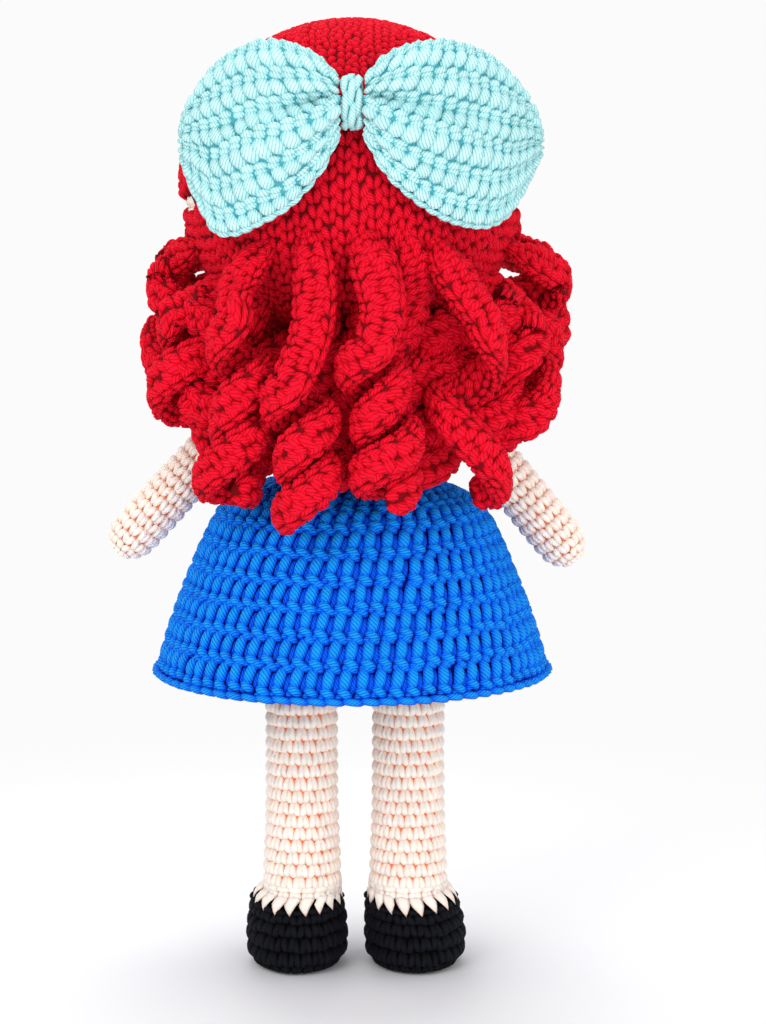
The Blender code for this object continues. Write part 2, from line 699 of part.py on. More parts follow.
def make_eye_cutters(side_name, side):
    point, look = eye_frame(side)
    hole = cylinder(point + look * CUT_OVERRUN, point - look * EYE_STEM_LENGTH, EYE_STEM_RADIUS + FIT_GAP)
    depth = EYE_STEM_LENGTH + FIT_GAP
    pocket = cylinder(point + look * CUT_OVERRUN, point - look * depth, WASHER_RADIUS + LAYER_GAP, LIMB_STEPS)
    EYE_HOLES[side_name] = add_cutter(side_name + "_eye_hole", hole, HEAD)
    EYE_POCKETS[side_name] = add_cutter(side_name + "_eye_pocket", pocket, HEAD)


def make_eye(side_name, side):
    """Plastic safety eye: a domed front on a stem, and the washer that locks it inside the head."""
    point, look = eye_frame(side)
    across = look.orthogonal().normalized()
    along = look.cross(across)
    seat = point + look * FIT_GAP
    stem_end = point - look * EYE_STEM_LENGTH
    rings = [
        ring(stem_end, across, along, EYE_STEM_RADIUS, EYE_STEM_RADIUS, LIMB_STEPS),
        ring(seat, across, along, EYE_STEM_RADIUS, EYE_STEM_RADIUS, LIMB_STEPS),
        ring(seat, across, along, EYE_RADIUS, EYE_RADIUS, LIMB_STEPS),
    ]
    for lift_deg in EYE_DOME_LIFTS_DEG:
        lift = math.radians(lift_deg)
        radius = EYE_RADIUS * math.cos(lift)
        middle = seat + look * (EYE_DOME * math.sin(lift))
        rings.append(ring(middle, across, along, radius, radius, LIMB_STEPS))
    add_piece(side_name + "_eye", loft(rings), BLACK, 0.08, HEAD)
    front = point - look * washer_depth()
    back = front - look * WASHER_THICKNESS
    washer = cylinder(front, back, WASHER_RADIUS, LIMB_STEPS)
    disc = add_piece(side_name + "_eye_washer", washer, BOARD, 0.5, HEAD)
    cut(disc, EYE_HOLES[side_name])


def face_point(x, drop, lift):
    """A point a little off the front of the head."""
    height = HEAD_Z - drop
    radius = head_radius_at(height) + lift
    return Vector((x, -math.sqrt(radius ** 2 - x ** 2), height))


def make_nose():
    surface = bmesh.new()
    bmesh.ops.create_uvsphere(surface, u_segments=PIN_STEPS, v_segments=PIN_STEPS // 2, radius=1.0)
    bmesh.ops.scale(surface, verts=surface.verts, vec=(NOSE_HALF_WIDTH, NOSE_DEPTH, NOSE_HALF_HEIGHT))
    bmesh.ops.translate(surface, verts=surface.verts, vec=face_point(0.0, NOSE_DROP, NOSE_DEPTH + LAYER_GAP))
    add_piece("nose", surface, SKIN, 0.9, HEAD)


def make_mouth():
    """A short smile embroidered in one thread."""
    route = []
    for i in range(MOUTH_STEPS + 1):
        share = 2.0 * i / MOUTH_STEPS - 1.0
        drop = MOUTH_DROP + MOUTH_DIP * (1.0 - share ** 2)
        route.append(face_point(MOUTH_WIDTH / 2 * share, drop, MOUTH_THREAD_RADIUS + LAYER_GAP))
    rings = []
    for i, point in enumerate(route):
        along_route = (route[min(i + 1, MOUTH_STEPS)] - route[max(i - 1, 0)]).normalized()
        off_face = Vector((0, -1, 0)) - along_route * (-along_route.y)
        off_face.normalize()
        edge = along_route.cross(off_face)
        rings.append(ring(point, off_face, edge, MOUTH_THREAD_RADIUS, MOUTH_THREAD_RADIUS, LOCK_SIDES))
    add_piece("mouth", loft(rings), ROSE, 0.8, HEAD)


def curl_ring_radius(ring_name):
    """How far from the doll's axis a ring of curls hangs, at its top and at its tips."""
    reach = CURL_RADIUS + LOCK_THICKNESS / 2
    inner = WAIST_RADIUS + LAYER_GAP + DRESS_WALL + CURL_BODY_GAP + reach
    outer = inner + 2 * reach + CURL_RING_GAP
    rings = {
        "inner": (inner, inner),
        "outer": (outer, outer),
        "wave": (outer - WAVE_DRAW_IN, outer),
        "wide": (outer - WAVE_DRAW_IN, outer + WIDE_SPREAD),
    }
    return rings[ring_name]


def lock_route(lock, root_shift):
    """Centre line of a lock and the way that its flat side faces: a fall from the root, then a corkscrew."""
    root_deg, root_share, sway_deg, top_deg, tip_deg = lock[1:6]
    ring_name, top_share, tip_share, turns, way, lead_power = lock[6:]
    root_angle = math.radians(root_deg)
    sway = math.radians(sway_deg)
    top_angle = math.radians(top_deg)
    tip_angle = math.radians(tip_deg)
    top_radius, tip_radius = curl_ring_radius(ring_name)
    curl_radius = WAVE_RADIUS if ring_name == "wave" else CURL_RADIUS
    top_z = HEAD_Z - HAIR_LENGTH * top_share
    tip_z = HEAD_Z - HAIR_LENGTH * tip_share
    half = LOCK_THICKNESS / 2
    top_out = outward(top_angle)
    side_out = top_out.cross(Vector((0, 0, 1))) * way
    steps = round(CURL_STEPS * turns)
    curl = []
    faces_out = []
    for i in range(steps + 1):
        share = i / steps
        drop = share ** lead_power
        axis = top_out * (top_radius * (1 - drop)) + outward(tip_angle) * (tip_radius * drop)
        axis.z = top_z + (tip_z - top_z) * drop
        turn = 2.0 * math.pi * turns * share
        spoke = top_out * math.cos(turn) + side_out * math.sin(turn)
        curl.append(axis + spoke * curl_radius)
        faces_out.append(spoke)
    if root_share is None:
        tilt_room = wig_slope_at(root_angle) * abs(math.sin(root_angle)) * LOCK_WIDTH / 2
        root_z = wig_edge_at(root_angle) - WIG_WALL - tilt_room
        root_radius = head_radius_at(root_z) + half + root_shift
    else:
        root_z = HEAD_Z - HAIR_LENGTH * root_share
        root_radius = wig_radius_at(root_z) + half + root_shift
    start = curl[0]
    start_angle = math.atan2(start.x, start.y)
    start_radius = math.hypot(start.x, start.y)
    guide = [outward(root_angle) * root_radius + Vector((0, 0, root_z))]
    for share in FALL_GUIDE_SHARES:
        height = root_z + (start.z - root_z) * share
        angle = root_angle + (start_angle - root_angle) * share + sway
        under = wig_radius_at(height) if height > wig_edge_at(angle) else head_radius_at(height)
        radius = max(root_radius + (start_radius - root_radius) * share, under + LAYER_GAP + half)
        guide.append(outward(angle) * radius + Vector((0, 0, height)))
    guide += [start, curl[1]]
    fall = smooth_route(guide, FALL_STEPS)[:FALL_STEPS * (len(guide) - 2)]
    route = fall + curl
    facing = [Vector((point.x, point.y, 0.0)).normalized() for point in fall] + faces_out
    fall_width = LOCK_WIDTH if root_share is None else FALL_WIDTH
    narrowing = [min(i / len(fall), 1.0) ** NARROWING_POWER for i in range(len(route))]
    widths = [fall_width + (LOCK_WIDTH - fall_width) * share for share in narrowing]
    return route, facing, widths, steps / turns


def lock_rings(lock, root_shift):
    route, facing, widths, steps_per_turn = lock_route(lock, root_shift)
    rings = []
    last = len(route) - 1
    for i, (point, face, width) in enumerate(zip(route, facing, widths)):
        along_route = (route[min(i + 1, last)] - route[max(i - 1, 0)]).normalized()
        face = (face - along_route * face.dot(along_route)).normalized()
        edge = along_route.cross(face)
        rings.append(ring(point, face, edge, LOCK_THICKNESS / 2, width / 2, LOCK_SIDES))
    tip = route[-1] + along_route * LOCK_TIP_LENGTH
    thickness_share, width_share = LOCK_TIP_SHARES
    half_thick = LOCK_THICKNESS / 2 * thickness_share
    half_wide = LOCK_WIDTH / 2 * width_share
    rings.append(ring(tip, face, edge, half_thick, half_wide, LOCK_SIDES))
    return rings, steps_per_turn


def seated_lock_rings(lock):
    """A lock whose root is moved in or out until its inner side lies on what it is sewn to."""
    radius_under = head_radius_at if lock[2] is None else wig_radius_at
    root_shift = FIT_GAP
    for _ in range(SEATING_ROUNDS):
        rings, steps_per_turn = lock_rings(lock, root_shift)
        gap = min(math.hypot(point.x, point.y) - radius_under(point.z) for point in rings[0])
        root_shift += FIT_GAP - gap
    return rings, steps_per_turn


def least_gap_to_itself(rings, steps_per_turn):
    """Least distance between points of a lock that lie at least most of a turn apart along it."""
    apart = round(steps_per_turn * SELF_GAP_TURN_SHARE)
    least = HAIR_LENGTH
    for i in range(len(rings)):
        for j in range(i + apart, len(rings)):
            for first in rings[i]:
                for second in rings[j]:
                    least = min(least, (first - second).length)
    return least


def make_hair():
    """Each lock is one flat crocheted strip that winds into a corkscrew."""
    least = HAIR_LENGTH
    for lock in LOCKS:
        rings, steps_per_turn = seated_lock_rings(lock)
        least = min(least, least_gap_to_itself(rings, steps_per_turn))
        add_piece("hair_lock_" + lock[0], loft(rings), RED, 0.9, HEAD)
    print("least gap of a curl to itself, mm:", round(least * 1000, 2))


def bow_depth_at(x):
    """Depth of a bow lobe's middle surface: out from the centre, then bent forwards round the head."""
    seat_z = BOW_Z - BOW_BAND_HEIGHT / 2 + BOW_BAND_BEVEL
    centre = wig_depth(0.0, seat_z) + FIT_GAP + BOW_BAND_DEPTH / 2
    share = abs(x) / RIGHT_LOBE_LENGTH
    return centre + BOW_SWELL * share - BOW_BEND * share ** 2


def wig_depth(x, z):
    inside = 1.0 - (x / WIG_RADIUS) ** 2 - ((z - HEAD_Z) / WIG_HALF_HEIGHT) ** 2
    return WIG_RADIUS * math.sqrt(max(inside, 0.0))


def make_lobe(name, side, length, shares):
    """Puffy crocheted loop of the bow, lofted from its gathered root out to its rim."""
    rings = []
    stations = []
    for out, top, bottom, thick in shares:
        x = side * length * out
        middle_z = BOW_Z + LOBE_HEIGHT * (top + bottom) / 2
        middle = Vector((x, bow_depth_at(x), middle_z))
        stations.append((middle, LOBE_HEIGHT * (top - bottom) / 2, LOBE_THICKNESS * thick / 2))
    for i, (middle, half_height, half_thick) in enumerate(stations):
        before = stations[max(i - 1, 0)][0]
        after = stations[min(i + 1, len(stations) - 1)][0]
        way = Vector((after.x - before.x, after.y - before.y, 0.0)).normalized()
        if i == 0:
            way = Vector((side, 0.0, 0.0))
        upwards = Vector((0, 0, 1))
        rings.append(ring(middle, upwards.cross(way), upwards, half_thick, half_height, LOBE_STEPS))
    bm = loft(rings)
    bmesh.ops.recalc_face_normals(bm, faces=bm.faces)
    add_piece(name, bm, AQUA, 0.9, HEAD)


def make_bow():
    """Two loops and the band that gathers them, sewn to the back of the wig."""
    make_lobe("bow_left_loop", 1, LEFT_LOBE_LENGTH, LEFT_LOBE_SHARES)
    make_lobe("bow_right_loop", -1, RIGHT_LOBE_LENGTH, RIGHT_LOBE_SHARES)
    bm = bmesh.new()
    bmesh.ops.create_cube(bm, size=1.0)
    bmesh.ops.scale(bm, verts=bm.verts, vec=(BOW_BAND_WIDTH, BOW_BAND_DEPTH, BOW_BAND_HEIGHT))
    bmesh.ops.translate(bm, verts=bm.verts, vec=(0.0, bow_depth_at(0.0), BOW_Z))
    band = add_piece("bow_band", bm, AQUA, 0.9, HEAD)
    bevel = band.modifiers.new("rounded", "BEVEL")
    bevel.width = BOW_BAND_BEVEL
    bevel.segments = BAND_BEVEL_STEPS
    bevel.limit_method = "ANGLE"


def stand_on_origin():
    """Put the middle of the doll's footprint box on the origin."""
    bpy.context.view_layer.update()
    graph = bpy.context.evaluated_depsgraph_get()
    low = Vector((math.inf,) * 3)
    high = Vector((-math.inf,) * 3)
    for piece in DOLL.objects:
        if piece.type != "MESH":
            continue
        shaped = piece.evaluated_get(graph)
        for vert in shaped.data.vertices:
            point = shaped.matrix_world @ vert.co
            low = Vector(map(min, low, point))
            high = Vector(map(max, high, point))
    DOLL_ROOT.location -= Vector(((low.x + high.x) / 2, (low.y + high.y) / 2, low.z))


clear_scene()
DOLL = make_collection("crocheted_doll")
CUTTERS = make_collection("cutters")
DOLL_ROOT = add_empty("doll_root", (0, 0, 0))
BODY = add_empty("body_axis", (0, 0, 0), DOLL_ROOT)
HEAD = add_empty("head_turn_axis", (0, 0, COLLAR_Z), DOLL_ROOT)
LEFT_ARM = add_empty("left_arm_axis", (arm_face_x(), 0, SHOULDER_Z), DOLL_ROOT)
RIGHT_ARM = add_empty("right_arm_axis", (-arm_face_x(), 0, SHOULDER_Z), DOLL_ROOT)

SIDES = (("left", 1), ("right", -1))
CORD_CHANNEL = make_cord_channel()
DOWEL_HOLE = make_dowel_hole()
ROD_HOLES = {side_name: make_rod_hole(side_name, side) for side_name, side in SIDES}
EYE_HOLES = {}
EYE_POCKETS = {}
for eye_side, eye_sign in SIDES:
    make_eye_cutters(eye_side, eye_sign)

for shoe_side, shoe_sign in SIDES:
    make_shoe(shoe_side, shoe_sign)
    make_leg(shoe_side, shoe_sign)
make_body()
make_skirt()
make_neck()
make_joint_cord()
make_arm("left", 1, LEFT_ARM_SPLAY_DEG, LEFT_ARM)
make_arm("right", -1, RIGHT_ARM_SPLAY_DEG, RIGHT_ARM)
make_head()
make_wig()
for face_side, face_sign in SIDES:
    make_eye(face_side, face_sign)
make_nose()
make_mouth()
make_hair()
make_bow()
stand_on_origin()
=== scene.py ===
import math

import bpy
import numpy as np
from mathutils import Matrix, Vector


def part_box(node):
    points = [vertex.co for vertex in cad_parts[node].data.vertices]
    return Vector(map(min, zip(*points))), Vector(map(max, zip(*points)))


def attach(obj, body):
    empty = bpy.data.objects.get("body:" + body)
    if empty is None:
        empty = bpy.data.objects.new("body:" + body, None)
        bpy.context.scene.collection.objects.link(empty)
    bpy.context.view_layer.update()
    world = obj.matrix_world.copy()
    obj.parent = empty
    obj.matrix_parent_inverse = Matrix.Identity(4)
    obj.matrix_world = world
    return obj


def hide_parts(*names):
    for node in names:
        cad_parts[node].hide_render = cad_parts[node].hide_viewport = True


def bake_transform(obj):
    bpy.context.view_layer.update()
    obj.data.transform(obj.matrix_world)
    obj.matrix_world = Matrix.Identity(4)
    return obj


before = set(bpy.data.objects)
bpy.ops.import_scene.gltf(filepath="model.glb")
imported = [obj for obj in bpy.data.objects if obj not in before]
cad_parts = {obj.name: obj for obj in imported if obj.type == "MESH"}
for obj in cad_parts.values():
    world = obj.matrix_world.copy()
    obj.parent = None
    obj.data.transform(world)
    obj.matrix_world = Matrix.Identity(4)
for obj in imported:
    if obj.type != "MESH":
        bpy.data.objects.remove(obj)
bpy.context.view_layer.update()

bpy.ops.object.select_all(action="DESELECT")

# Shoes. Each is crocheted in the round in matt black acrylic yarn, in single crochet from the middle of
# the sole up to a chained rim, and stuffed over a stiff insole. The loops bulge, and light sinks between.
MM = 0.001
# A cell is the width and height that one stitch takes up, in millimetres
SHOE_CELL = (4.6, 4.9)
RIM_CELL = (4.6, 2.8)
# Height, half width, half length and shift towards the toe, as shares, from the middle of the sole up
SHOE_SHAPE_SHARES = (
    (0.00, 0.02, 0.02, 0.14), (0.00, 0.60, 0.62, 0.14), (0.02, 0.82, 0.86, 0.14), (0.12, 0.96, 0.97, 0.14),
    (0.32, 1.00, 1.00, 0.14), (0.56, 0.98, 0.93, 0.12), (0.80, 0.92, 0.79, 0.06), (0.97, 0.83, 0.63, 0.00),
)
HEEL_SHIFT = 0.14
SOLE_Z = 0.0008
SHOE_OUT = {"left": 0.0, "right": 2.2 * MM}
RIM_TILT = 0.13
PLIES = 6
PLY_TURN_MM = 7.0
DICE = np.random.default_rng(7)
DOLL_X, DOLL_Y = (np.array(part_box("neck_dowel")).mean(axis=0)[:2]).tolist()


def linear(hex_colour):
    """An sRGB hex colour as the linear colour that a socket takes."""
    parts = [int(hex_colour[i:i + 2], 16) / 255 for i in (1, 3, 5)]
    return [p / 12.92 if p <= 0.04045 else ((p + 0.055) / 1.055) ** 2.4 for p in parts] + [1.0]


def feed(node, inputs):
    """Sets a node's inputs to values, or links them from an output or from a node's first output."""
    for key, value in inputs.items():
        if isinstance(value, bpy.types.Node):
            value = value.outputs[0]
        if isinstance(value, bpy.types.NodeSocket):
            node.id_data.links.new(value, node.inputs[key])
        else:
            node.inputs[key].default_value = value


def add(tree, kind, inputs=None, **settings):
    """One node with its settings, fed by values and by other nodes."""
    node = tree.nodes.new("ShaderNode" + kind)
    for name, value in settings.items():
        setattr(node, name, value)
    feed(node, inputs or {})
    return node


def started(name):
    """A new material, its node tree and its shader."""
    material = bpy.data.materials.new(name)
    material.use_nodes = True
    return material, material.node_tree, material.node_tree.nodes["Principled BSDF"]


def yarn(name, light, body, shade, crevice_shade, sheen=0.0, groove_shade=0.18, bump=0.55, gloss=0.12, depth=0.0):
    """Plied yarn: plies wind round each strand and its fibres scatter. Its colour carries painted shade, darkest in
    the crevices between strands and darker low on each strand and in the grooves between plies, and a painted
    highlight on the crests.
    """
    material, tree, shader = started(name)
    crest = add(tree, "Attribute", attribute_name="crest").outputs["Fac"]
    tone = add(tree, "Attribute", attribute_name="tone").outputs["Fac"]
    along = add(tree, "SeparateXYZ", {0: add(tree, "UVMap", uv_map="strand")})
    winds = add(tree, "Math", {0: along.outputs[1], 1: PLIES / PLY_TURN_MM}, operation="MULTIPLY")
    phase = add(tree, "Math", {0: along, 1: float(PLIES), 2: winds}, operation="MULTIPLY_ADD")
    ply = add(tree, "Math", {0: phase, 1: 0.5}, operation="PINGPONG")
    ridge = add(tree, "MapRange", {0: ply, 2: 0.24}, interpolation_type="SMOOTHSTEP")
    place = add(tree, "TexCoord").outputs["Object"]
    fibre = add(tree, "TexNoise", {"Vector": place, "Scale": 1 / (0.9 * MM), "Detail": 3.0, "Roughness": 0.65})
    # Painted shade and highlight by crest: the darkest colour is painted shade in the crevices, the next is painted
    # shade low on each strand, then comes the yarn's own colour, and the lightest is a painted highlight on the
    # crests.
    ramp = add(tree, "ValToRGB", {0: crest})
    stops = ramp.color_ramp.elements
    stops[0].color, stops[1].color = linear(crevice_shade), linear(light)
    stops.new(0.24).color = linear(shade)
    stops.new(0.60).color = linear(body)
    # The colour is darkened in the grooves between plies: painted shade.
    level = add(tree, "MapRange", {0: ridge, 3: 1.0 - groove_shade, 4: 1.0})
    uneven = add(tree, "MapRange", {0: fibre, 1: 0.3, 2: 0.7, 3: 0.94, 4: 1.04})
    own = add(tree, "MapRange", {0: tone, 3: 0.94, 4: 1.04})
    level = add(tree, "Math", {0: level, 1: uneven}, operation="MULTIPLY")
    level = add(tree, "Math", {0: level, 1: own}, operation="MULTIPLY")
    painted = add(tree, "VectorMath", {0: ramp, 3: level}, operation="SCALE")
    soft = add(tree, "Math", {0: fibre, 1: 0.6, 2: ridge}, operation="MULTIPLY_ADD")
    raised = add(tree, "Bump", {"Strength": bump, "Distance": 0.30 * MM, "Height": soft})
    feed(shader, {
        "Base Color": painted, "Normal": raised, "Roughness": 0.82, "Specular IOR Level": gloss,
        "Subsurface Weight": depth, "Subsurface Radius": (1.0, 0.5, 0.35), "Subsurface Scale": 1.6 * MM,
        "Sheen Weight": sheen, "Sheen Roughness": 0.45, "Sheen Tint": linear(light),
    })
    return material


# The one plump length of yarn that every stitch is copied from, as points, corners, face sizes and UVs
bpy.ops.mesh.primitive_uv_sphere_add(segments=6, ring_count=6, radius=1.0, rotation=(0, 0, math.radians(30)))
bpy.ops.object.transform_apply(location=False, rotation=True, scale=False)
ball = bpy.context.active_object
mesh = ball.data
LOOP_POINTS = np.array([v.co for v in mesh.vertices])
LOOP_CORNERS = np.array([loop.vertex_index for loop in mesh.loops])
LOOP_SIZES = np.array([face.loop_total for face in mesh.polygons])
LOOP_PLACES = np.array([uv.uv for uv in mesh.uv_layers[0].data])
bpy.data.objects.remove(ball)
bpy.data.meshes.remove(mesh)


def strand(start, middle, end, thick, flat=1.0, plump=0.38, tip=1.0):
    """A strand of yarn in a stitch: three places across, up and out, in mm, and how thick and how flat it is."""
    start, middle, end = (np.array(p, float) for p in (start, middle, end))
    t = np.arccos(np.clip(LOOP_POINTS[:, 2], -1, 1)) / math.pi
    bulge = np.sqrt(np.clip(1 - LOOP_POINTS[:, 2] ** 2, 0, 1))
    share = t[:, None]
    bend = 2 * middle - (start + end) / 2
    centre = (1 - share) ** 2 * start + 2 * share * (1 - share) * bend + share ** 2 * end
    run = (end - start) / np.linalg.norm(end - start)
    side = np.cross(run, (0.0, 0.0, 1.0))
    side /= np.linalg.norm(side)
    round_it = np.maximum(bulge, 1e-6) ** (plump - 1) * thick / 2 * (1 + (tip - 1) * t)
    points = centre + np.outer(LOOP_POINTS[:, 0] * round_it, side)
    points += np.outer(LOOP_POINTS[:, 1] * round_it * flat, np.cross(side, run))
    return points, LOOP_PLACES * (1.0, np.linalg.norm(end - start))


def stitch(*strands):
    """The strands of one stitch as a single pattern: points, corners, face sizes and strand places."""
    points, places = map(np.concatenate, zip(*strands))
    steps = np.arange(len(strands)) * len(LOOP_POINTS)
    return points, (LOOP_CORNERS + steps[:, None]).ravel(), np.tile(LOOP_SIZES, len(strands)), places


def smooth(table, count):
    """A smooth curve through a table's rows, as evenly spaced rows, and its length."""
    rows = np.array(table, float)
    ends = np.vstack([2 * rows[0] - rows[1], rows, 2 * rows[-1] - rows[-2]])
    out = []
    for a, b, c, d in zip(ends, ends[1:], ends[2:], ends[3:]):
        bend = 2 * a - 5 * b + 4 * c - d
        for t in np.arange(24) / 24:
            out.append(b + ((c - a) * t + bend * t * t + (3 * b - a - 3 * c + d) * t ** 3) / 2)
    out = np.array(out + [rows[-1]])
    far = np.concatenate([[0], np.cumsum(np.linalg.norm(np.diff(out[:, :3], axis=0), axis=1))])
    at = np.linspace(0, far[-1], count)
    return np.stack([np.interp(at, far, column) for column in out.T], axis=1), far[-1]


def read(table, v):
    """A smooth table's row at each share of its length."""
    at = np.clip(v, 0.0005, 0.9995) * (len(table) - 1)
    low = at.astype(int)
    part = (at - low)[..., None]
    return table[low] * (1 - part) + table[low + 1] * part


class RoundForm:
    """A form through ovals: each level has its height, half width, half depth and shifts, in metres."""

    def __init__(self, levels, turn=lambda points: points):
        self.levels, self.length = smooth(levels, 400)
        self.turn = turn
        self.middle = turn(self.levels[len(self.levels) // 2, [3, 4, 0]][None, :])[0]

    def place(self, u, v):
        height, wide, deep, across, away = np.moveaxis(read(self.levels, v), -1, 0)
        angle = 2 * math.pi * u
        return self.turn(np.stack([across + wide * np.sin(angle), away + deep * np.cos(angle), height], axis=-1))

    def inside(self, u, v):
        return self.middle

    def around(self, v):
        """The way round at a share of the form's length, in metres."""
        wide, deep = read(self.levels, np.array([v]))[0, 1:3]
        return math.pi * (3 * (wide + deep) - math.sqrt((3 * wide + deep) * (wide + 3 * deep)))


def unit(vectors):
    """Each vector at a length of one."""
    return vectors / np.maximum(np.linalg.norm(vectors, axis=-1), 1e-15)[..., None]


def facing(form, u, v):
    """Points on a form, the way out of it there, and whether across, up and out are right-handed."""
    near = 0.002
    point = form.place(u, v)
    across = form.place(u + near, v) - form.place(u - near, v)
    out = unit(np.cross(across, form.place(u, v + near) - form.place(u, v - near)))
    right = np.median(np.sign(((point - form.inside(u, v)) * out).sum(-1))) >= 0
    return point, out if right else -out, right


def lay(form, pattern, wide, tall, cells, sink, inwards=False, wobble=0.05, whirl=0.06):
    """Copies of a stitch over a form, one to a place. Each place is a share round and along, and its size there."""
    points, corners, sizes, places = pattern
    cells = np.array(cells, float)
    count = len(cells)
    shift = DICE.normal(0, wobble, (count, 2)).clip(-2 * wobble, 2 * wobble)
    swell = DICE.normal(1, wobble, (count, 1)).clip(0.85, 1.15)
    turn = DICE.normal(0, whirl, (count, 1)).clip(-2 * whirl, 2 * whirl)
    x, y, z = points.T[:, None, :]
    a = (x + (y - tall / 2) * turn) / wide * swell + shift[:, :1]
    b = (y - x * turn) / tall * swell + shift[:, 1:]
    point, out, right = facing(form, cells[:, 0:1] + a * cells[:, 2:3], cells[:, 1:2] + b * cells[:, 3:4])
    if inwards:
        out, right = -out, not right
    height = (z - sink) * MM
    spots = (point + out * height[..., None] * swell[..., None]).reshape(-1, 3)
    # Crest: each point's height in the stitch, for painted shade low on the stitch and a painted highlight on its
    # top.
    crest = np.tile(0.10 + 0.90 * np.clip((z[0] - z.min()) / (z.max() - z.min()), 0, 1), count)
    tone = np.repeat(DICE.random(count), len(points))
    if not right:
        starts = np.cumsum(sizes) - sizes
        order = np.concatenate([np.arange(s, s + n)[::-1] for s, n in zip(starts, sizes)])
        corners, places = corners[order], places[order]
    corners = (corners + (np.arange(count) * len(points))[:, None]).ravel()
    places = (places + DICE.random((count, 1, 2)) * (0.0, 3.0)).reshape(-1, 2)
    return spots, corners, np.tile(sizes, count), places, crest, tone


def grid_faces(rows, steps, ends_meet, sides_meet):
    """The corners of each face between rows of points."""
    i, j = np.meshgrid(np.arange(rows - (not ends_meet)), np.arange(steps - (not sides_meet)), indexing="ij")
    after, beside = (i + 1) % rows, (j + 1) % steps
    faces = np.stack([i * steps + j, i * steps + beside, after * steps + beside, after * steps + j], axis=-1)
    return list(faces.reshape(-1, 4))


def fabric(spots, faces, right, crest):
    """Plain fabric with no stitches, in the form that lay gives: one level of painted shade and one tone of colour
    all over.
    """
    faces = [face if right else face[::-1] for face in faces]
    corners, sizes = np.concatenate(faces), np.array([len(face) for face in faces])
    return (spots, corners, sizes, np.zeros((len(corners), 2)), np.full(len(spots), crest),
            np.full(len(spots), 0.5))


def shade_lining(form, sink, steps=48, rows=60, crest=0.0):
    """The fabric behind the stitches: a closed skin a little under the form that closes the gaps between stitches.
    Its colour is painted shade, darkest at crest 0.
    """
    point, out, right = facing(form, *np.meshgrid(np.arange(steps) / steps, np.linspace(0, 1, rows)))
    spots = (point - out * sink * MM).reshape(-1, 3)
    faces = grid_faces(rows, steps, False, True)
    last, foot = (rows - 1) * steps, rows * steps
    for j in range(steps):
        k = (j + 1) % steps
        faces += [(k, j, foot), (last + j, last + k, foot + 1)]
    spots = np.vstack([spots, spots[:steps].mean(axis=0), spots[-steps:].mean(axis=0)])
    return fabric(spots, faces, right, crest)


def knit(name, parts, material, body, *nodes):
    """One object of all its parts, in its yarn, on its body and in the place of its CAD nodes."""
    steps = np.cumsum([0] + [len(part[0]) for part in parts])
    parts = [(spots, corners + step, *rest) for (spots, corners, *rest), step in zip(parts, steps)]
    spots, corners, sizes, places, crest, tone = map(np.concatenate, zip(*parts))
    mesh = bpy.data.meshes.new(name)
    mesh.vertices.add(len(spots))
    mesh.vertices.foreach_set("co", spots.astype(np.float32).ravel())
    mesh.loops.add(len(corners))
    mesh.loops.foreach_set("vertex_index", corners.astype(np.int32))
    mesh.polygons.add(len(sizes))
    mesh.polygons.foreach_set("loop_start", (np.cumsum(sizes) - sizes).astype(np.int32))
    mesh.polygons.foreach_set("use_smooth", np.ones(len(sizes), bool))
    mesh.uv_layers.new(name="strand").data.foreach_set("uv", places.astype(np.float32).ravel())
    # crest carries the painted shade and highlight into the yarn, and tone each stitch's own random tone.
    for attribute, values in (("crest", crest), ("tone", tone)):
        layer = mesh.attributes.new(attribute, "FLOAT", "POINT")
        layer.data.foreach_set("value", values.astype(np.float32))
    mesh.update(calc_edges=True)
    mesh.validate()
    piece = bpy.data.objects.new(name, mesh)
    bpy.context.scene.collection.objects.link(piece)
    mesh.materials.append(material)
    if body:
        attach(piece, body)
    if nodes:
        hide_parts(*nodes)
    return piece


def rounds(form, wide, tall, low=0.0, high=1.0, count=None, drift=0.12, keep=lambda u, v: True):
    """Places of stitches worked round a form, row on row, each row a little on from the last."""
    rows = max(1, round((high - low) * form.length / (tall * MM)))
    step = (high - low) / rows
    cells = []
    for row in range(rows):
        v = low + row * step
        number = count or max(6, round(form.around(v + step / 2) / (wide * MM)))
        for column in range(number):
            u = (column + drift * row) / number
            if keep(u, v):
                cells.append((u, v, 1 / number, step))
    return cells


# A single crochet parts from a rounded foot, over the tops of the row below
SINGLE_CROCHET = ((0.07, -0.32, 0.22), (0.29, 0.22, 0.44), (0.38, 1.08, -0.30))


def vee(places, wide, tall, thick, lean=0.0):
    """A V of two plump lobes, each through three places in shares of its cell and its thickness."""
    lobes = []
    for side in (-1, 1):
        start, middle, end = np.array(places) * (side * wide, tall, thick)
        slant = (lean / 2, 0.0, 0.0)
        lobes.append(strand(start - slant, middle, end + slant, thick, 0.95))
    return stitch(*lobes)


def chain(wide, tall, thick, lean=0.35):
    """A chained edge: strands that slant and overlap along it like a flat plait."""
    end = np.array((0.75 * wide, lean * tall, -0.2 * thick))
    return stitch(strand(end * (-1, -1, 1), (0, 0, 0.45 * thick), end, thick, 0.9))
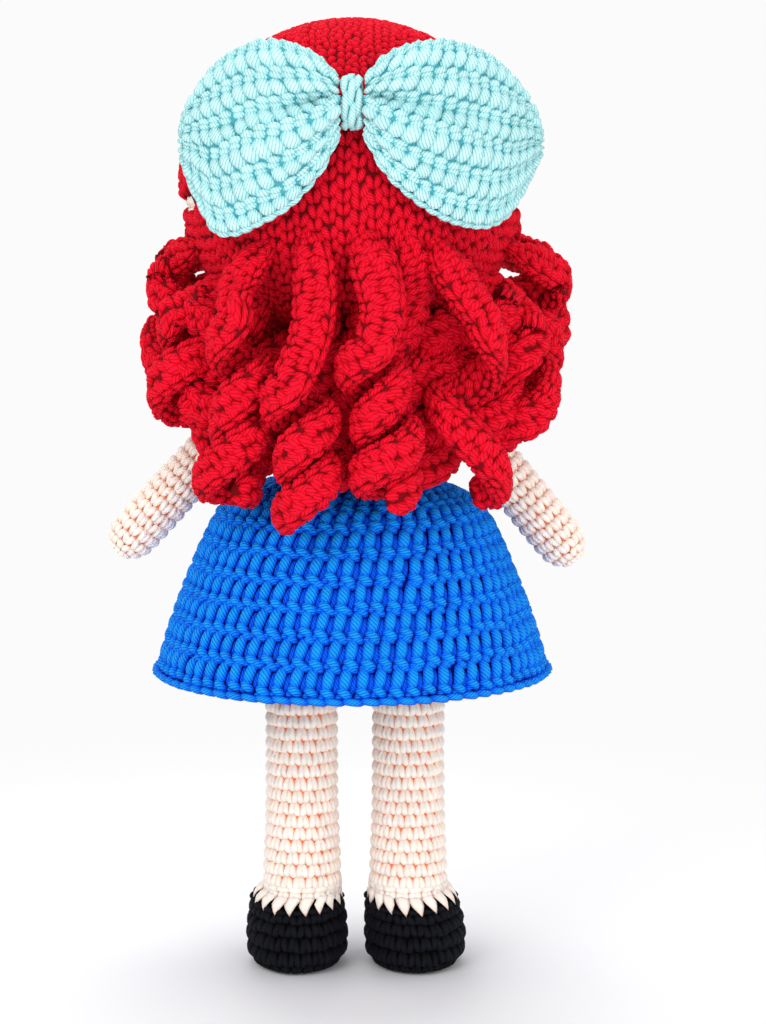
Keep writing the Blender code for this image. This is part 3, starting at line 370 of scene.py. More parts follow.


# Each yarn, here and below, gets four colours: a painted highlight for the crests, the yarn's own colour, painted
# shade, and the darkest painted shade for the crevices.
BLACK_YARN = yarn("black_acrylic_yarn", "#14151b", "#09090d", "#040405", "#010101", groove_shade=0.35, gloss=0.08)
SHOE_V = vee(SINGLE_CROCHET, *SHOE_CELL, 3.1)
SHOE_CHAIN = chain(*RIM_CELL, 3.3)
SHOE_FORMS = {}
for side, way in (("left", 1), ("right", -1)):
    low, high = np.array(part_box(side + "_shoe"))
    half_wide, half_long, tall = (high[0] - low[0]) / 2, (high[1] - low[1]) / 2, high[2] - low[2]
    toe = 2 * half_long
    middle_x, middle_y = (low[0] + high[0]) / 2, (low[1] + high[1]) / 2 + toe * HEEL_SHIFT
    levels = [
        (tall * height + SOLE_Z, half_wide * width, half_long * length,
         middle_x + way * SHOE_OUT[side] * (1 - height ** 3), middle_y - toe * shift)
        for height, width, length, shift in SHOE_SHAPE_SHARES
    ]

    def tilted(points, tall=tall, middle_y=middle_y):
        """Points of a shoe with its opening raised in front and lowered at the heel."""
        tilt = RIM_TILT * (points[..., 1] - middle_y) * np.clip(points[..., 2] / tall, 0, 1) ** 3
        return points - tilt[..., None] * (0.0, 0.0, 1.0)

    form = SHOE_FORMS[side] = RoundForm(levels, tilted)
    parts = [
        shade_lining(form, 1.2, rows=40),
        lay(form, SHOE_V, *SHOE_CELL, rounds(form, *SHOE_CELL, 0.02, 0.95), 1.9),
        lay(form, SHOE_CHAIN, *RIM_CELL, rounds(form, *RIM_CELL, 0.935, 0.985), 1.5),
    ]
    for part in parts:
        part[0][:, 2] = np.maximum(part[0][:, 2], 0.0)
    shoe = knit(side + "_shoe_knit", parts, BLACK_YARN, "body", side + "_shoe", side + "_shoe_stuffing")

# Legs. Straight stuffed tubes of single crochet in skin-coloured cotton, joined to the shoes where the
# yarn changes: a flat, pointed loop from each stitch there reaches down over the black rim.
LEG_CELL = (3.95, 4.05)
LEG_STITCHES = 18
LEG_FOOT_SHARE = 1.07
LEG_SHAPE_SHARES = (
    (0.00, LEG_FOOT_SHARE), (0.12, 1.05), (0.32, 0.99), (0.60, 0.97), (0.84, 1.00), (1.00, 1.03),
)
LEG_OUT = {"left": -1.1 * MM, "right": -0.5 * MM}
POINTS_ASIDE = 0.5 * MM
SKIN_YARN = yarn(
    "skin_cotton_yarn", "#fff2e8", "#ffdfcd", "#ffbc9c", "#ff8050", sheen=0.1, groove_shade=0.05, bump=0.35, depth=0.3,
)
LEG_V = vee(SINGLE_CROCHET, *LEG_CELL, 2.6, lean=0.25)
LEG_JOIN = stitch(strand((-3.2, 0.0, 0.0), (0.0, -0.2, 0.4), (3.2, 0.0, 0.0), 2.9, 0.9))
LEG_POINT = stitch(strand((0.0, -1.0, -0.1), (0.05, 3.3, 0.6), (-0.1, 8.4, 0.0), 6.0, 0.34, 0.30, tip=0.08))


def one_round(low, tall):
    """A place at each stitch round a leg."""
    return [((c + 0.5) / LEG_STITCHES, low, 1 / LEG_STITCHES, tall) for c in range(LEG_STITCHES)]


for side in ("left", "right"):
    low, high = np.array(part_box(side + "_leg"))
    centre = (low + high) / 2
    radius = (high[0] - low[0]) / 2 / LEG_FOOT_SHARE
    x, y = centre[0] + LEG_OUT[side], centre[1]
    form = RoundForm([
        (low[2] + (high[2] - low[2]) * height, radius * share, radius * share, x, y)
        for height, share in LEG_SHAPE_SHARES
    ])
    shoe_form = SHOE_FORMS[side]
    rim, below = read(shoe_form.levels, np.array([1.0, 0.82]))
    collar = RoundForm([
        (rim[0] + 2.3 * MM, radius * 1.06, radius * 1.06, x, y),
        (rim[0] + 1.5 * MM, radius * 1.10, radius * 1.14, x, y),
        (rim[0] + 0.1 * MM, rim[1] - 0.2 * MM, rim[2] + 0.7 * MM, rim[3] - POINTS_ASIDE, rim[4]),
        (below[0], below[1] + 1.0 * MM, below[2] + 1.5 * MM, below[3] - POINTS_ASIDE, below[4]),
    ], shoe_form.turn)
    cells = rounds(form, *LEG_CELL, count=LEG_STITCHES, drift=-0.27)
    parts = [
        shade_lining(form, 0.55),
        lay(form, LEG_V, *LEG_CELL, cells, 1.35, wobble=0.025, whirl=0.04),
        lay(form, LEG_JOIN, *LEG_CELL, one_round(0.036, 0.04), 0.5, wobble=0.02, whirl=0.03),
        lay(collar, LEG_POINT, LEG_CELL[0], collar.length / MM, one_round(0.0, 1.0), 0.0, wobble=0.012, whirl=0.05),
    ]
    leg = knit(side + "_leg_knit", parts, SKIN_YARN, "body", side + "_leg", side + "_leg_stuffing")

# Body. The stuffed torso is worked on from the legs in the same cotton, wide at the hips and narrow at
# the shoulders. The skirt and the bodice hide most of it.
HIP_SHAPE_SHARES = (
    (0.00, 0.10, 0.10), (0.00, 0.955, 0.82), (0.14, 1.00, 0.95), (0.42, 0.98, 1.02), (0.72, 0.83, 1.00),
)
CHEST_SHAPE_SHARES = ((0.00, 1.00), (0.32, 0.95), (0.60, 0.91), (0.84, 0.89), (0.94, 0.79), (1.00, 0.62))
CHEST_TALL = 40.0 * MM
HIP_TALL = 45.0 * MM
HIP_DEEP = 21.0 * MM
NECK_HOLE_RADIUS = 7.5 * MM
low, high = np.array(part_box("torso"))
hip_wide = (high[0] - low[0]) / 2
WAIST_Z = low[2] + HIP_TALL
WAIST_RADIUS = 20.7 * MM


def upright(*rows):
    """Levels of a round form on the doll's middle line, from heights and radii."""
    return [(height, radius, radius, DOLL_X, DOLL_Y) for height, radius in rows]


def chest(over):
    """Heights and radii up the chest, some millimetres over it."""
    return [(WAIST_Z + CHEST_TALL * height, WAIST_RADIUS * share + over * MM) for height, share in CHEST_SHAPE_SHARES]


hips = [
    (low[2] + HIP_TALL * height, hip_wide * width, HIP_DEEP * depth, DOLL_X, DOLL_Y)
    for height, width, depth in HIP_SHAPE_SHARES
]
form = RoundForm(hips + upright(*chest(0.0), (high[2], NECK_HOLE_RADIUS)))
parts = [
    shade_lining(form, 1.0, crest=0.5),
    lay(form, LEG_V, *LEG_CELL, rounds(form, *LEG_CELL, 0.02, 0.62), 1.5, wobble=0.025, whirl=0.04),
]
torso = knit("torso_knit", parts, SKIN_YARN, "body", "torso", "torso_stuffing")

# Bodice. The top of the dress, single crochet in royal blue cotton, worked over the torso from the waist
# up to the shoulders.
BODICE_CELL = (4.0, 4.1)
BODICE_OVER_MM = 2.7
BLUE_YARN = yarn("royal_blue_cotton_yarn", "#1098ff", "#0062fc", "#0034d4", "#001484", groove_shade=0.36, bump=1.0)
BODICE_V = vee(SINGLE_CROCHET, *BODICE_CELL, 2.3)
form = RoundForm(upright((WAIST_Z - 5.0 * MM, WAIST_RADIUS + 2.4 * MM), *chest(BODICE_OVER_MM)))
parts = [shade_lining(form, 1.4), lay(form, BODICE_V, *BODICE_CELL, rounds(form, *BODICE_CELL, 0.0, 0.98), 1.5)]
bodice = knit("bodice_knit", parts, BLUE_YARN, "body", "bodice")

# Skirt. Royal blue cotton in rounds of tall double crochet that widen to the hem, gathered at the waist.
# Each post leans to the right on its own foot, a thin chain runs between rounds, and a plait ends the hem.
SKIRT_CELL = (5.1, 8.9)
HEM_CELL = (5.4, 3.0)
SKIRT_SHAPE_SHARES = (
    (0.935, 0.55), (0.86, 0.665), (0.70, 0.755), (0.55, 0.82), (0.35, 0.90), (0.15, 0.965), (0.00, 1.00),
)
SKIRT_WALL = 2.6
SKIRT_STEPS = 72
low, high = np.array(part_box("skirt"))
hem_radius = (high[0] - low[0]) / 2
SKIRT_FORM = RoundForm(upright((high[2], WAIST_RADIUS + BODICE_OVER_MM * MM), *(
    (low[2] + (high[2] - low[2]) * height, hem_radius * share) for height, share in SKIRT_SHAPE_SHARES
)))


def post(start, middle, end, *thickness):
    """A strand of a skirt stitch, its places in shares of the cell and in millimetres outwards."""
    return strand(*(np.array(place) * (*SKIRT_CELL, 1.0) for place in (start, middle, end)), *thickness)


# The rounds go down the skirt and across to the left as it is seen, so each place here is taken from the
# stitch's right edge and its top: the post, the hook over its top, its foot, and the strand behind.
SKIRT_POST = stitch(
    post((-0.16, -0.12, 0.3), (-0.02, 0.36, 1.8), (0.16, 0.84, 0.5), 3.8, 0.80, 0.30),
    post((-0.02, -0.03, 1.0), (-0.34, -0.02, 1.4), (-0.84, 0.10, 0.3), 2.9, 0.9),
    post((0.52, 0.64, 0.4), (0.04, 0.82, 1.9), (-0.46, 1.02, 0.3), 3.1, 0.9),
    post((0.50, 0.84, 0.2), (0.36, 0.94, 1.1), (0.10, 1.06, 0.3), 2.4, 0.9),
    post((-0.60, 0.10, -0.3), (-0.48, 0.50, 0.4), (-0.36, 0.92, -0.1), 2.5, 0.9),
)
SKIRT_INNER = stitch(post((0.1, 0.0, -0.4), (0.0, 0.5, 1.0), (-0.1, 1.0, -0.4), 3.0, 0.7))
HEM_CHAIN = chain(*HEM_CELL, 3.6, -0.30)
cells = rounds(SKIRT_FORM, *SKIRT_CELL, 0.02, 0.958, drift=0.3)
hem = rounds(SKIRT_FORM, *HEM_CELL, 0.972, 0.995)
skirt_parts = [
    lay(SKIRT_FORM, SKIRT_POST, *SKIRT_CELL, cells, 1.7, wobble=0.03, whirl=0.05),
    lay(SKIRT_FORM, SKIRT_INNER, *SKIRT_CELL, cells, -SKIRT_WALL + 0.6, inwards=True),
    lay(SKIRT_FORM, HEM_CHAIN, *HEM_CELL, hem, 0.5, wobble=0.02, whirl=0.02),
]


def sheet_over(form, u, low, high, outer_sink, inner_sink, rows, crest=0.0):
    """A closed sheet over part of a form, from low to high at each place u round it, coloured as painted shade by its
    crest. A full circle joins up.
    """
    ring = abs((u[-1] - u[0]) + (u[1] - u[0]) - 1) < 1e-6
    share = np.linspace(0, 1, rows)[:, None]
    point, out, right = facing(form, np.tile(u, (rows, 1)), low * (1 - share) + high * share)
    outer = (point - out * outer_sink * MM).reshape(-1, 3)
    inner = (point - out * inner_sink * MM)[::-1].reshape(-1, 3)
    faces = grid_faces(2 * rows, len(u), True, ring)
    if not ring:
        i = np.arange(rows - 1)
        far = 2 * rows - 1 - i
        faces += list(np.stack([i, i + 1, far - 1, far], axis=-1) * len(u))
        faces += list((np.stack([i, far, far - 1, i + 1], axis=-1) + 1) * len(u) - 1)
    return fabric(np.vstack([outer, inner]), faces, right, crest)


# The skirt's wall behind the posts is plain fabric in the darkest painted shade, so the gaps between posts show
# painted shade.
whole_way, ones = np.arange(SKIRT_STEPS) / SKIRT_STEPS, np.ones(SKIRT_STEPS)
shade_cloth = sheet_over(SKIRT_FORM, whole_way, 0.002 * ones, 0.975 * ones, 1.2, SKIRT_WALL, 40)
skirt = knit("skirt_cloth", [shade_cloth], BLUE_YARN, "body", "skirt")
skirt_knit = knit("skirt_knit", skirt_parts, BLUE_YARN, "body")

# Neck. A few short rounds worked on from the body and sewn to the head.
# It is in the same cotton as the body, fourteen stitches round.
low, high = np.array(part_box("neck"))
radius = (high[0] - low[0]) / 2
middle = ((low[2] + high[2]) / 2, radius * 0.97)
form = RoundForm(upright((low[2] - 1.5 * MM, radius), middle, (high[2] + 1.0 * MM, radius)))
parts = [shade_lining(form, 1.0, rows=8, crest=0.5), lay(form, LEG_V, *LEG_CELL, rounds(form, 3.9, 3.6, count=14), 1.2)]
neck = knit("neck_knit", parts, SKIN_YARN, None, "neck")
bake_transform(neck)

# Arms. Thin stuffed tubes with a fuller hand, about twelve stitches round, closed at both ends and turning
# on the thread through the shoulders. The end at the body is pressed flat against it.
ARM_CELL = (3.8, 3.9)
ARM_RADIUS = 7.5 * MM
ARM_REACH = 72.5 * MM
ARM_SPLAY_DEG = {"left": 42.6, "right": 39.0}
ARM_SHAPE_SHARES = (
    (-0.105, 0.05), (-0.090, 0.42), (-0.055, 0.77), (0.00, 0.95), (0.12, 0.94), (0.32, 0.92), (0.55, 0.97),
    (0.75, 1.00), (0.90, 0.97), (0.955, 0.78), (0.99, 0.42), (1.00, 0.05),
)
SHOULDER_OUT_MM = 21.94
SHOULDER_Z = 187.1 * MM
ARM_V = vee(SINGLE_CROCHET, *ARM_CELL, 2.25, lean=0.3)
for side, way in (("left", 1), ("right", -1)):
    splay = math.radians(ARM_SPLAY_DEG[side])
    joint = np.array([DOLL_X + way * (SHOULDER_OUT_MM + 3.0) * MM, DOLL_Y, SHOULDER_Z])
    down = np.array([way * math.sin(splay), 0.0, -math.cos(splay)])
    across = np.cross((0.0, 1.0, 0.0), down)

    def turned(points, joint=joint, down=down, across=across):
        """Points of an upright form, laid along the arm."""
        return joint + points[..., 2:3] * down + points[..., 0:1] * across + points[..., 1:2] * (0.0, 1.0, 0.0)

    levels = [(ARM_REACH * far, ARM_RADIUS * share, ARM_RADIUS * share, 0.0, 0.0) for far, share in ARM_SHAPE_SHARES]
    form = RoundForm(levels, turned)
    parts = [
        shade_lining(form, 1.0, steps=32),
        lay(form, ARM_V, *ARM_CELL, rounds(form, *ARM_CELL, 0.015, 0.985), 1.25, wobble=0.025, whirl=0.04),
    ]
    face = DOLL_X + way * SHOULDER_OUT_MM * MM
    for spots, *_ in parts:
        spots[(spots[:, 0] - face) * way < 0, 0] = face
    arm = knit(side + "_arm_knit", parts, SKIN_YARN, side + "_arm", side + "_arm", side + "_arm_stuffing")

# Head. A round stuffed ball in rounds of single crochet, in skin-coloured cotton. Only the face and two
# slivers beside the bow show, so it is worked up to just under the wig's edge.
HEAD_CELL = (4.1, 4.05)
HEAD_RADIUS = 52.0 * MM
HEAD_HALF_HEIGHT = 48.0 * MM
HEAD_Z = 248.1 * MM
HEAD_UNDER = 0.8 * MM
WIG_WALL = 3.4 * MM
NAPE_TOP_Z = 237.0 * MM
EDGE_LIFT = 14.0 * MM
LIFT_PLACE, LIFT_SPREAD = 0.188, 0.030


def egg(radius, half_height, to_deg):
    """Levels down a head-shaped form, by angle from its top."""
    angles = np.radians(np.linspace(0.5, to_deg, 25))
    return upright(*((HEAD_Z + half_height * math.cos(a), radius * math.sin(a)) for a in angles))


def edge_slope(ahead):
    """How the wig's edge runs down: steeply at the back to the nape, gently over the brow."""
    return math.tan(math.radians(43.5 if ahead > 0 else 24.0))


def wig_edge_at(u):
    """Height of the wig's edge at a share of the way round from the back."""
    ahead = math.cos(2 * math.pi * u)
    low, high = HEAD_Z - HEAD_HALF_HEIGHT, HEAD_Z + HEAD_HALF_HEIGHT
    for _ in range(24):
        height = (low + high) / 2
        reach = HEAD_RADIUS * math.sqrt(max(1 - ((height - HEAD_Z) / HEAD_HALF_HEIGHT) ** 2, 0))
        if height + edge_slope(ahead) * reach * ahead > HEAD_Z + 1.2 * MM:
            high = height
        else:
            low = height
    return height


EDGE_TABLE = np.array([wig_edge_at(i / 180) for i in range(181)])


def edge_height(u):
    """The wig's edge, drawn up a little at the sides, where skin shows below it."""
    u = np.mod(u, 1.0)
    lift = EDGE_LIFT * np.exp(-((np.minimum(u, 1 - u) - LIFT_PLACE) / LIFT_SPREAD) ** 2)
    return np.interp(u * 180, np.arange(181), EDGE_TABLE) + lift


def below_wig(u, v):
    return read(HEAD_FORM.levels, np.array([v]))[0, 0] < edge_height(u) + 5 * MM


HEAD_FORM = RoundForm(egg(HEAD_RADIUS - HEAD_UNDER, HEAD_HALF_HEIGHT - HEAD_UNDER, 170.0))
HEAD_V = vee(SINGLE_CROCHET, *HEAD_CELL, 2.5, lean=0.3)
cells = rounds(HEAD_FORM, *HEAD_CELL, 0.0, 0.99, drift=-0.27, keep=below_wig)
parts = [
    shade_lining(HEAD_FORM, 1.0, steps=64),
    lay(HEAD_FORM, HEAD_V, *HEAD_CELL, cells, 1.4, wobble=0.025, whirl=0.04),
]
head = knit("head_knit", parts, SKIN_YARN, "head", "head", "head_stuffing")

# Face. Two glossy black safety eyes, a small nose in satin stitch and a smile in pink stranded thread. The
# photograph shows none of it, so it is the plain face that such a doll is usually given.
EYE_RADIUS = 4.15 * MM
EYE_OUT = 0.1 * MM
# Share of the radius and millimetres out, from the eye's flat back to its crown
EYE_STEPS = ((1.00, 0.0), (1.02, 0.35), (0.97, 0.80), (0.88, 1.30), (0.75, 1.85), (0.58, 2.35), (0.38, 2.72),
             (0.18, 2.92), (0.05, 2.97))
eye_plastic, tree, shader = started("moulded_black_acrylic")
# Moulded and tumbled: near black, mirror smooth, with the faintest unevenness in its gloss.
place = add(tree, "TexCoord").outputs["Object"]
haze = add(tree, "TexNoise", {"Vector": place, "Scale": 1 / (1.6 * MM), "Detail": 2.0})
gloss = add(tree, "MapRange", {0: haze, 3: 0.05, 4: 0.11})
feed(shader, {"Base Color": linear("#050506"), "Roughness": gloss, "Specular IOR Level": 0.3, "Coat Weight": 0.25,
              "Coat Roughness": 0.04})
for side in ("left", "right"):
    spot = Vector(np.array(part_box(side + "_eye")).mean(axis=0))
    spot.y += EYE_OUT
    way = Vector((spot.x - DOLL_X, spot.y - DOLL_Y, (spot.z - HEAD_Z) * (HEAD_RADIUS / HEAD_HALF_HEIGHT) ** 2))
    wide, height = 0.9, 0.0
    bpy.ops.mesh.primitive_circle_add(vertices=40, radius=EYE_RADIUS * wide, fill_type="NGON")
    bpy.ops.object.mode_set(mode="EDIT")
    bpy.ops.mesh.select_all(action="SELECT")
    for next_wide, next_height in EYE_STEPS:
        rise = (next_height - height) * MM + 0.01 * MM
        bpy.ops.mesh.extrude_region_move(TRANSFORM_OT_translate={"value": (0, 0, rise)})
        share = next_wide / wide
        bpy.ops.transform.resize(value=(share, share, 1), center_override=(0, 0, 0))
        wide, height = next_wide, next_height
    bpy.ops.mesh.select_all(action="SELECT")
    bpy.ops.mesh.normals_make_consistent(inside=False)
    bpy.ops.object.mode_set(mode="OBJECT")
    eye = bpy.context.active_object
    eye.name = side + "_eye_dome"
    eye.rotation_euler = way.to_track_quat("Z", "Y").to_euler()
    eye.location = spot
    bpy.ops.object.transform_apply(location=True, rotation=True, scale=True)
    bpy.ops.object.shade_smooth()
    eye.data.materials.append(eye_plastic)
    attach(eye, "head")
    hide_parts(side + "_eye")
    bpy.ops.object.select_all(action="DESELECT")


def sewn(node, strands, sink):
    """Strands sewn on the front of the head at a node's height, their places in plain millimetres."""
    height, levels = np.array(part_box(node)).mean(axis=0)[2], HEAD_FORM.levels
    v = float(np.interp(-height, -levels[:, 0], np.linspace(0, 1, len(levels))))
    cell = (0.5, v, MM / HEAD_FORM.around(v), MM / HEAD_FORM.length)
    return [lay(HEAD_FORM, stitch(*strands), 1.0, 1.0, [cell], sink, wobble=0, whirl=0)]


NOSE_HALF = 2.1
SMILE_HALF = 5.2
nose_rows = []
for y in (-1.2, -0.6, 0.0, 0.6, 1.2):
    end = NOSE_HALF - 0.5 * abs(y)
    nose_rows.append(strand((-end, y, 0.0), (0.0, y, 2.1 - 0.35 * y * y), (end, y, 0.0), 1.0, 0.9))
nose = knit("nose_satin", sewn("nose", nose_rows, 0.0), SKIN_YARN, "head", "nose")
PINK_THREAD = yarn("pink_stranded_thread", "#f0708a", "#d8485f", "#a82a42", "#701020", sheen=0.2, groove_shade=0.2)
smile = [np.array((x, 1.5 - 3.0 * (x / SMILE_HALF) ** 2)) for x in np.linspace(-SMILE_HALF, SMILE_HALF, 7)]
mouth_rows = []
for a, b in zip(smile, smile[1:]):
    a, b = a - 0.25 * (b - a), b + 0.25 * (b - a)
    mouth_rows.append(strand((*a, 0.3), (*((a + b) / 2), 1.0), (*b, 0.3), 1.15, 0.95))
mouth = knit("mouth_thread_stitches", sewn("mouth", mouth_rows, -0.1), PINK_THREAD, "head", "mouth")

# Wig. A cap of crimson acrylic crocheted over the head, its stitches in upright columns of nested Vs, and
# worked on below its slanting edge at the back to cover the nape between the roots of the locks.
WIG_GROW = 1.4 * MM
WIG_CELL = (4.5, 4.4)
BROW_CELL = (4.6, 3.0)
WIG_COLUMNS = 74
WIG_STEPS = 96
BROW_STITCHES = 80
FULL_WIDTH_AT = 0.42
# The lobes of a nested V start apart and run down to a point inside the next V
NESTED_V = ((0.44, -0.26, 0.0), (0.28, 0.40, 0.45), (0.02, 1.22, -0.42))
RED_YARN = yarn("crimson_acrylic_yarn", "#f40c2c", "#c80018", "#86000e", "#3c0005", groove_shade=0.30, bump=0.9)
WIG_FORM = RoundForm(egg(HEAD_RADIUS + WIG_GROW, HEAD_HALF_HEIGHT + WIG_WALL, 160.0))
WIG_V = vee(NESTED_V, *WIG_CELL, 2.6)
WIG_ROWS = round(WIG_FORM.length / (WIG_CELL[1] * MM))


def share_at(height):
    """How far down the wig's form a height is."""
    return np.interp(-np.asarray(height), -WIG_FORM.levels[:, 0], np.linspace(0, 1, len(WIG_FORM.levels)))


cells = []
number = 6
for row in range(WIG_ROWS):
    v = row / WIG_ROWS
    number = max(number, round(WIG_FORM.around(v + 0.5 / WIG_ROWS) / (WIG_CELL[0] * MM)))
    number = WIG_COLUMNS if v > FULL_WIDTH_AT else number
    for column in range(number):
        u = (column + 0.5) / number
        at = v + (0.5 / WIG_ROWS if column % 2 else 0.0)
        left = float(share_at(edge_height(u))) - at
        if left > 0.5 / WIG_ROWS:
            cells.append((u, at, 1 / number, min(left, 1 / WIG_ROWS)))
around = np.arange(WIG_STEPS) / WIG_STEPS
brow = [
    (u, float(share_at(edge_height(u))) - 0.006, 1 / BROW_STITCHES, 0.02)
    for u in np.arange(BROW_STITCHES) / BROW_STITCHES if 0.26 < u < 0.74
]
parts = [
    # Under the stitches, a closed sheet in painted shade.
    sheet_over(WIG_FORM, around, 0.0 * around, share_at(edge_height(around)), 0.5, 2.6, 30, 0.16),
    lay(WIG_FORM, WIG_V, *WIG_CELL, cells, 1.6, wobble=0.07, whirl=0.13),
    lay(WIG_FORM, chain(*BROW_CELL, 2.6), *BROW_CELL, brow, 1.3),
]
wig = knit("hair_cap_knit", parts, RED_YARN, "head", "hair_cap")

NAPE_HALF = 0.27
NAPE_END_Z = 201.0 * MM
around = np.linspace(-NAPE_HALF, NAPE_HALF, 56)
top = share_at(np.minimum(edge_height(around), NAPE_TOP_Z)) - 0.02
end = np.maximum(share_at(NAPE_END_Z) - 0.30 * (np.abs(around) / NAPE_HALF) ** 4, top + 0.02)
cells = []
for column in range(-19, 20):
    u = column / WIG_COLUMNS
    first, last = np.interp(u, around, top), np.interp(u, around, end)
    count = max(1, round((last - first) * WIG_ROWS))
    for row in range(count):
        cells.append((u, first + (last - first) * row / count, 1 / WIG_COLUMNS, (last - first) / count))
parts = [
    # Under the stitches, a closed sheet in painted shade.
    sheet_over(WIG_FORM, around, top, end, 1.2, 2.9, 14, 0.16),
    lay(WIG_FORM, WIG_V, *WIG_CELL, cells, 2.2, wobble=0.07, whirl=0.13),
]
nape = knit("hair_nape_knit", parts, RED_YARN, "head")

# Hair locks. Each is a narrow strip crocheted from a chain, sewn to the wig by one end, with so many
# stitches along it that it winds into a corkscrew. Both edges show a plait, and rows of bumps lie between.
LOCK_CELL = (4.5, 4.3)
LOCK_WIDTH = 11.4 * MM
FALL_WIDTH = 12.4 * MM
BROADER_FALL = {"c": 1.12}
LOCK_THICKNESS = 6.4 * MM
LOCK_TILT = 0.42
TIP_CLOSES = 0.6
TIP_SHRINKS = 0.36
CURL_STARTS = 0.2
CURL_RADIUS = 7.0 * MM
WAVE_RADIUS = 9.8 * MM
HAIR_LENGTH = 98.0 * MM
INNER_RING = 35.4 * MM
MIDDLE_RING = 48.0 * MM
OUTER_RING = 56.6 * MM
# Name; degrees round from the back of the root, the fall's sway, and the curl's top and tip; the ring that the
# curl hangs in; where it starts and ends in shares of the hair's length; its turns, and which way they go. A
# lock whose root has a share too is sewn that far down the wig, and the others just inside its edge. Locks i to
# l, and the inner ones, fill the dark places behind the large locks.
LOCKS = (
    ("a", (28, 0.13), 4, 32, 41, "outer", 0.37, 0.98, 3.1, 1),
    ("b", (15, 0.09), -4, 16, 13, "outer", 0.57, 1.00, 2.6, 1),
    ("c", (-1, 0.09), -4, -6, -12.5, "outer", 0.46, 0.97, 3.3, 1),
    ("d", (-14.5, 0.07), -5, -20, -20, "inner", 0.46, 0.86, 2.9, 1),
    ("e", (-28, 0.12), 0, -37, -39, "wave", 0.39, 0.97, 1.6, -1),
    ("f", (8, None), 0, 11, 11, "inner", 0.41, 0.86, 3.4, 1),
    ("g", (39, None), 0, 44, 47, "inner", 0.40, 0.90, 3.55, 1),
    ("h", (-38, None), -3, -51.5, -51.5, "inner", 0.41, 0.73, 2.6, 1),
    ("i", (56, None), 5, 58, 57, "middle", 0.37, 0.80, 3.4, -1),
    ("j", (-56, None), -8, -60.5, -61, "middle", 0.37, 0.80, 3.4, 1),
    ("k", (-46, None), -4, -46, -42, "inner", 0.40, 0.92, 3.9, 1),
    ("l", (-3, None), 0, -4, -4, "inner", 0.46, 0.93, 3.2, -1),
    ("left_1", (53, None), 0, 62, 63, "outer", 0.39, 0.75, 2.1, 1),
    ("left_2", (73, None), 8, 86, 86, "side", 0.29, 0.71, 2.25, -1),
    ("left_3", (94, None), 22, 108, 108, "side", 0.24, 0.46, 1.4, -1),
    ("right_1", (-55, None), -8, -64, -68, "outer", 0.44, 0.80, 2.0, 1),
    ("right_2", (-73, None), 0, -87, -87, "outer", 0.28, 0.71, 2.2, -1),
    ("right_3", (-91, None), -22, -106, -100, "wide", 0.24, 0.50, 1.6, 1),
)
# Lock a's turns crowd together towards its tip
LEADS = {"a": 0.82}
# How far out from the head's middle a curl's own middle is, at its top and at its tip
RINGS = {
    "inner": (INNER_RING, INNER_RING), "middle": (MIDDLE_RING, MIDDLE_RING), "outer": (OUTER_RING, OUTER_RING),
    "wave": (OUTER_RING - 2 * MM, OUTER_RING), "side": (OUTER_RING - 2.5 * MM, OUTER_RING - 2.5 * MM),
    "wide": (OUTER_RING - 2 * MM, OUTER_RING + 6 * MM),
}


def outward(angle):
    """Level way out at an angle round from the back, towards the doll's left."""
    return np.array([math.sin(angle), math.cos(angle), 0.0])


def egg_radius(height, grow):
    share = 1 - ((height - HEAD_Z) / (HEAD_HALF_HEIGHT + grow)) ** 2
    return (HEAD_RADIUS + grow) * math.sqrt(max(share, 0.0))


def corkscrew(ring, lead, top, tip, top_share, tip_share, turns, way):
    """A lock's curl, as points on its middle line and the ways that its flat side faces."""
    top_radius, tip_radius = RINGS[ring]
    radius, uneven = (WAVE_RADIUS, 0.10) if ring == "wave" else (CURL_RADIUS, 0.22)
    top_z, tip_z = HEAD_Z - HAIR_LENGTH * top_share, HEAD_Z - HAIR_LENGTH * tip_share
    side_out = np.cross(outward(top), (0.0, 0.0, 1.0)) * way
    luck = DICE.random(3)
    helix, faces = [], []
    for share in np.linspace(0, 1, round(14 * turns)):
        late = max(0.0, 1 - turns * (1 - share) / TIP_CLOSES)
        drop = share ** lead - 0.21 / turns * late ** 2
        axis = outward(top) * top_radius * (1 - drop) + outward(tip) * tip_radius * drop
        axis[2] = top_z + (tip_z - top_z) * drop
        turn = 2 * math.pi * (turns * share - CURL_STARTS * (1 - math.exp(-share * turns / CURL_STARTS)))
        swell = 1 + uneven * math.sin(0.5 * turn + 6 * luck[0])
        swell *= 1 - TIP_SHRINKS * late ** 2
        spoke = outward(top) * math.cos(turn) + side_out * math.sin(turn)
        lean = LOCK_TILT * (0.75 + 0.5 * luck[1] + 0.35 * math.sin(0.45 * turn + 6 * luck[2]))
        lean *= min(turn / math.pi, 1.0)
        spot = axis + spoke * radius * swell
        spot[2] -= lean * radius * swell * math.sin(turn)
        helix.append(spot)
        faces.append(spoke)
    return helix, faces


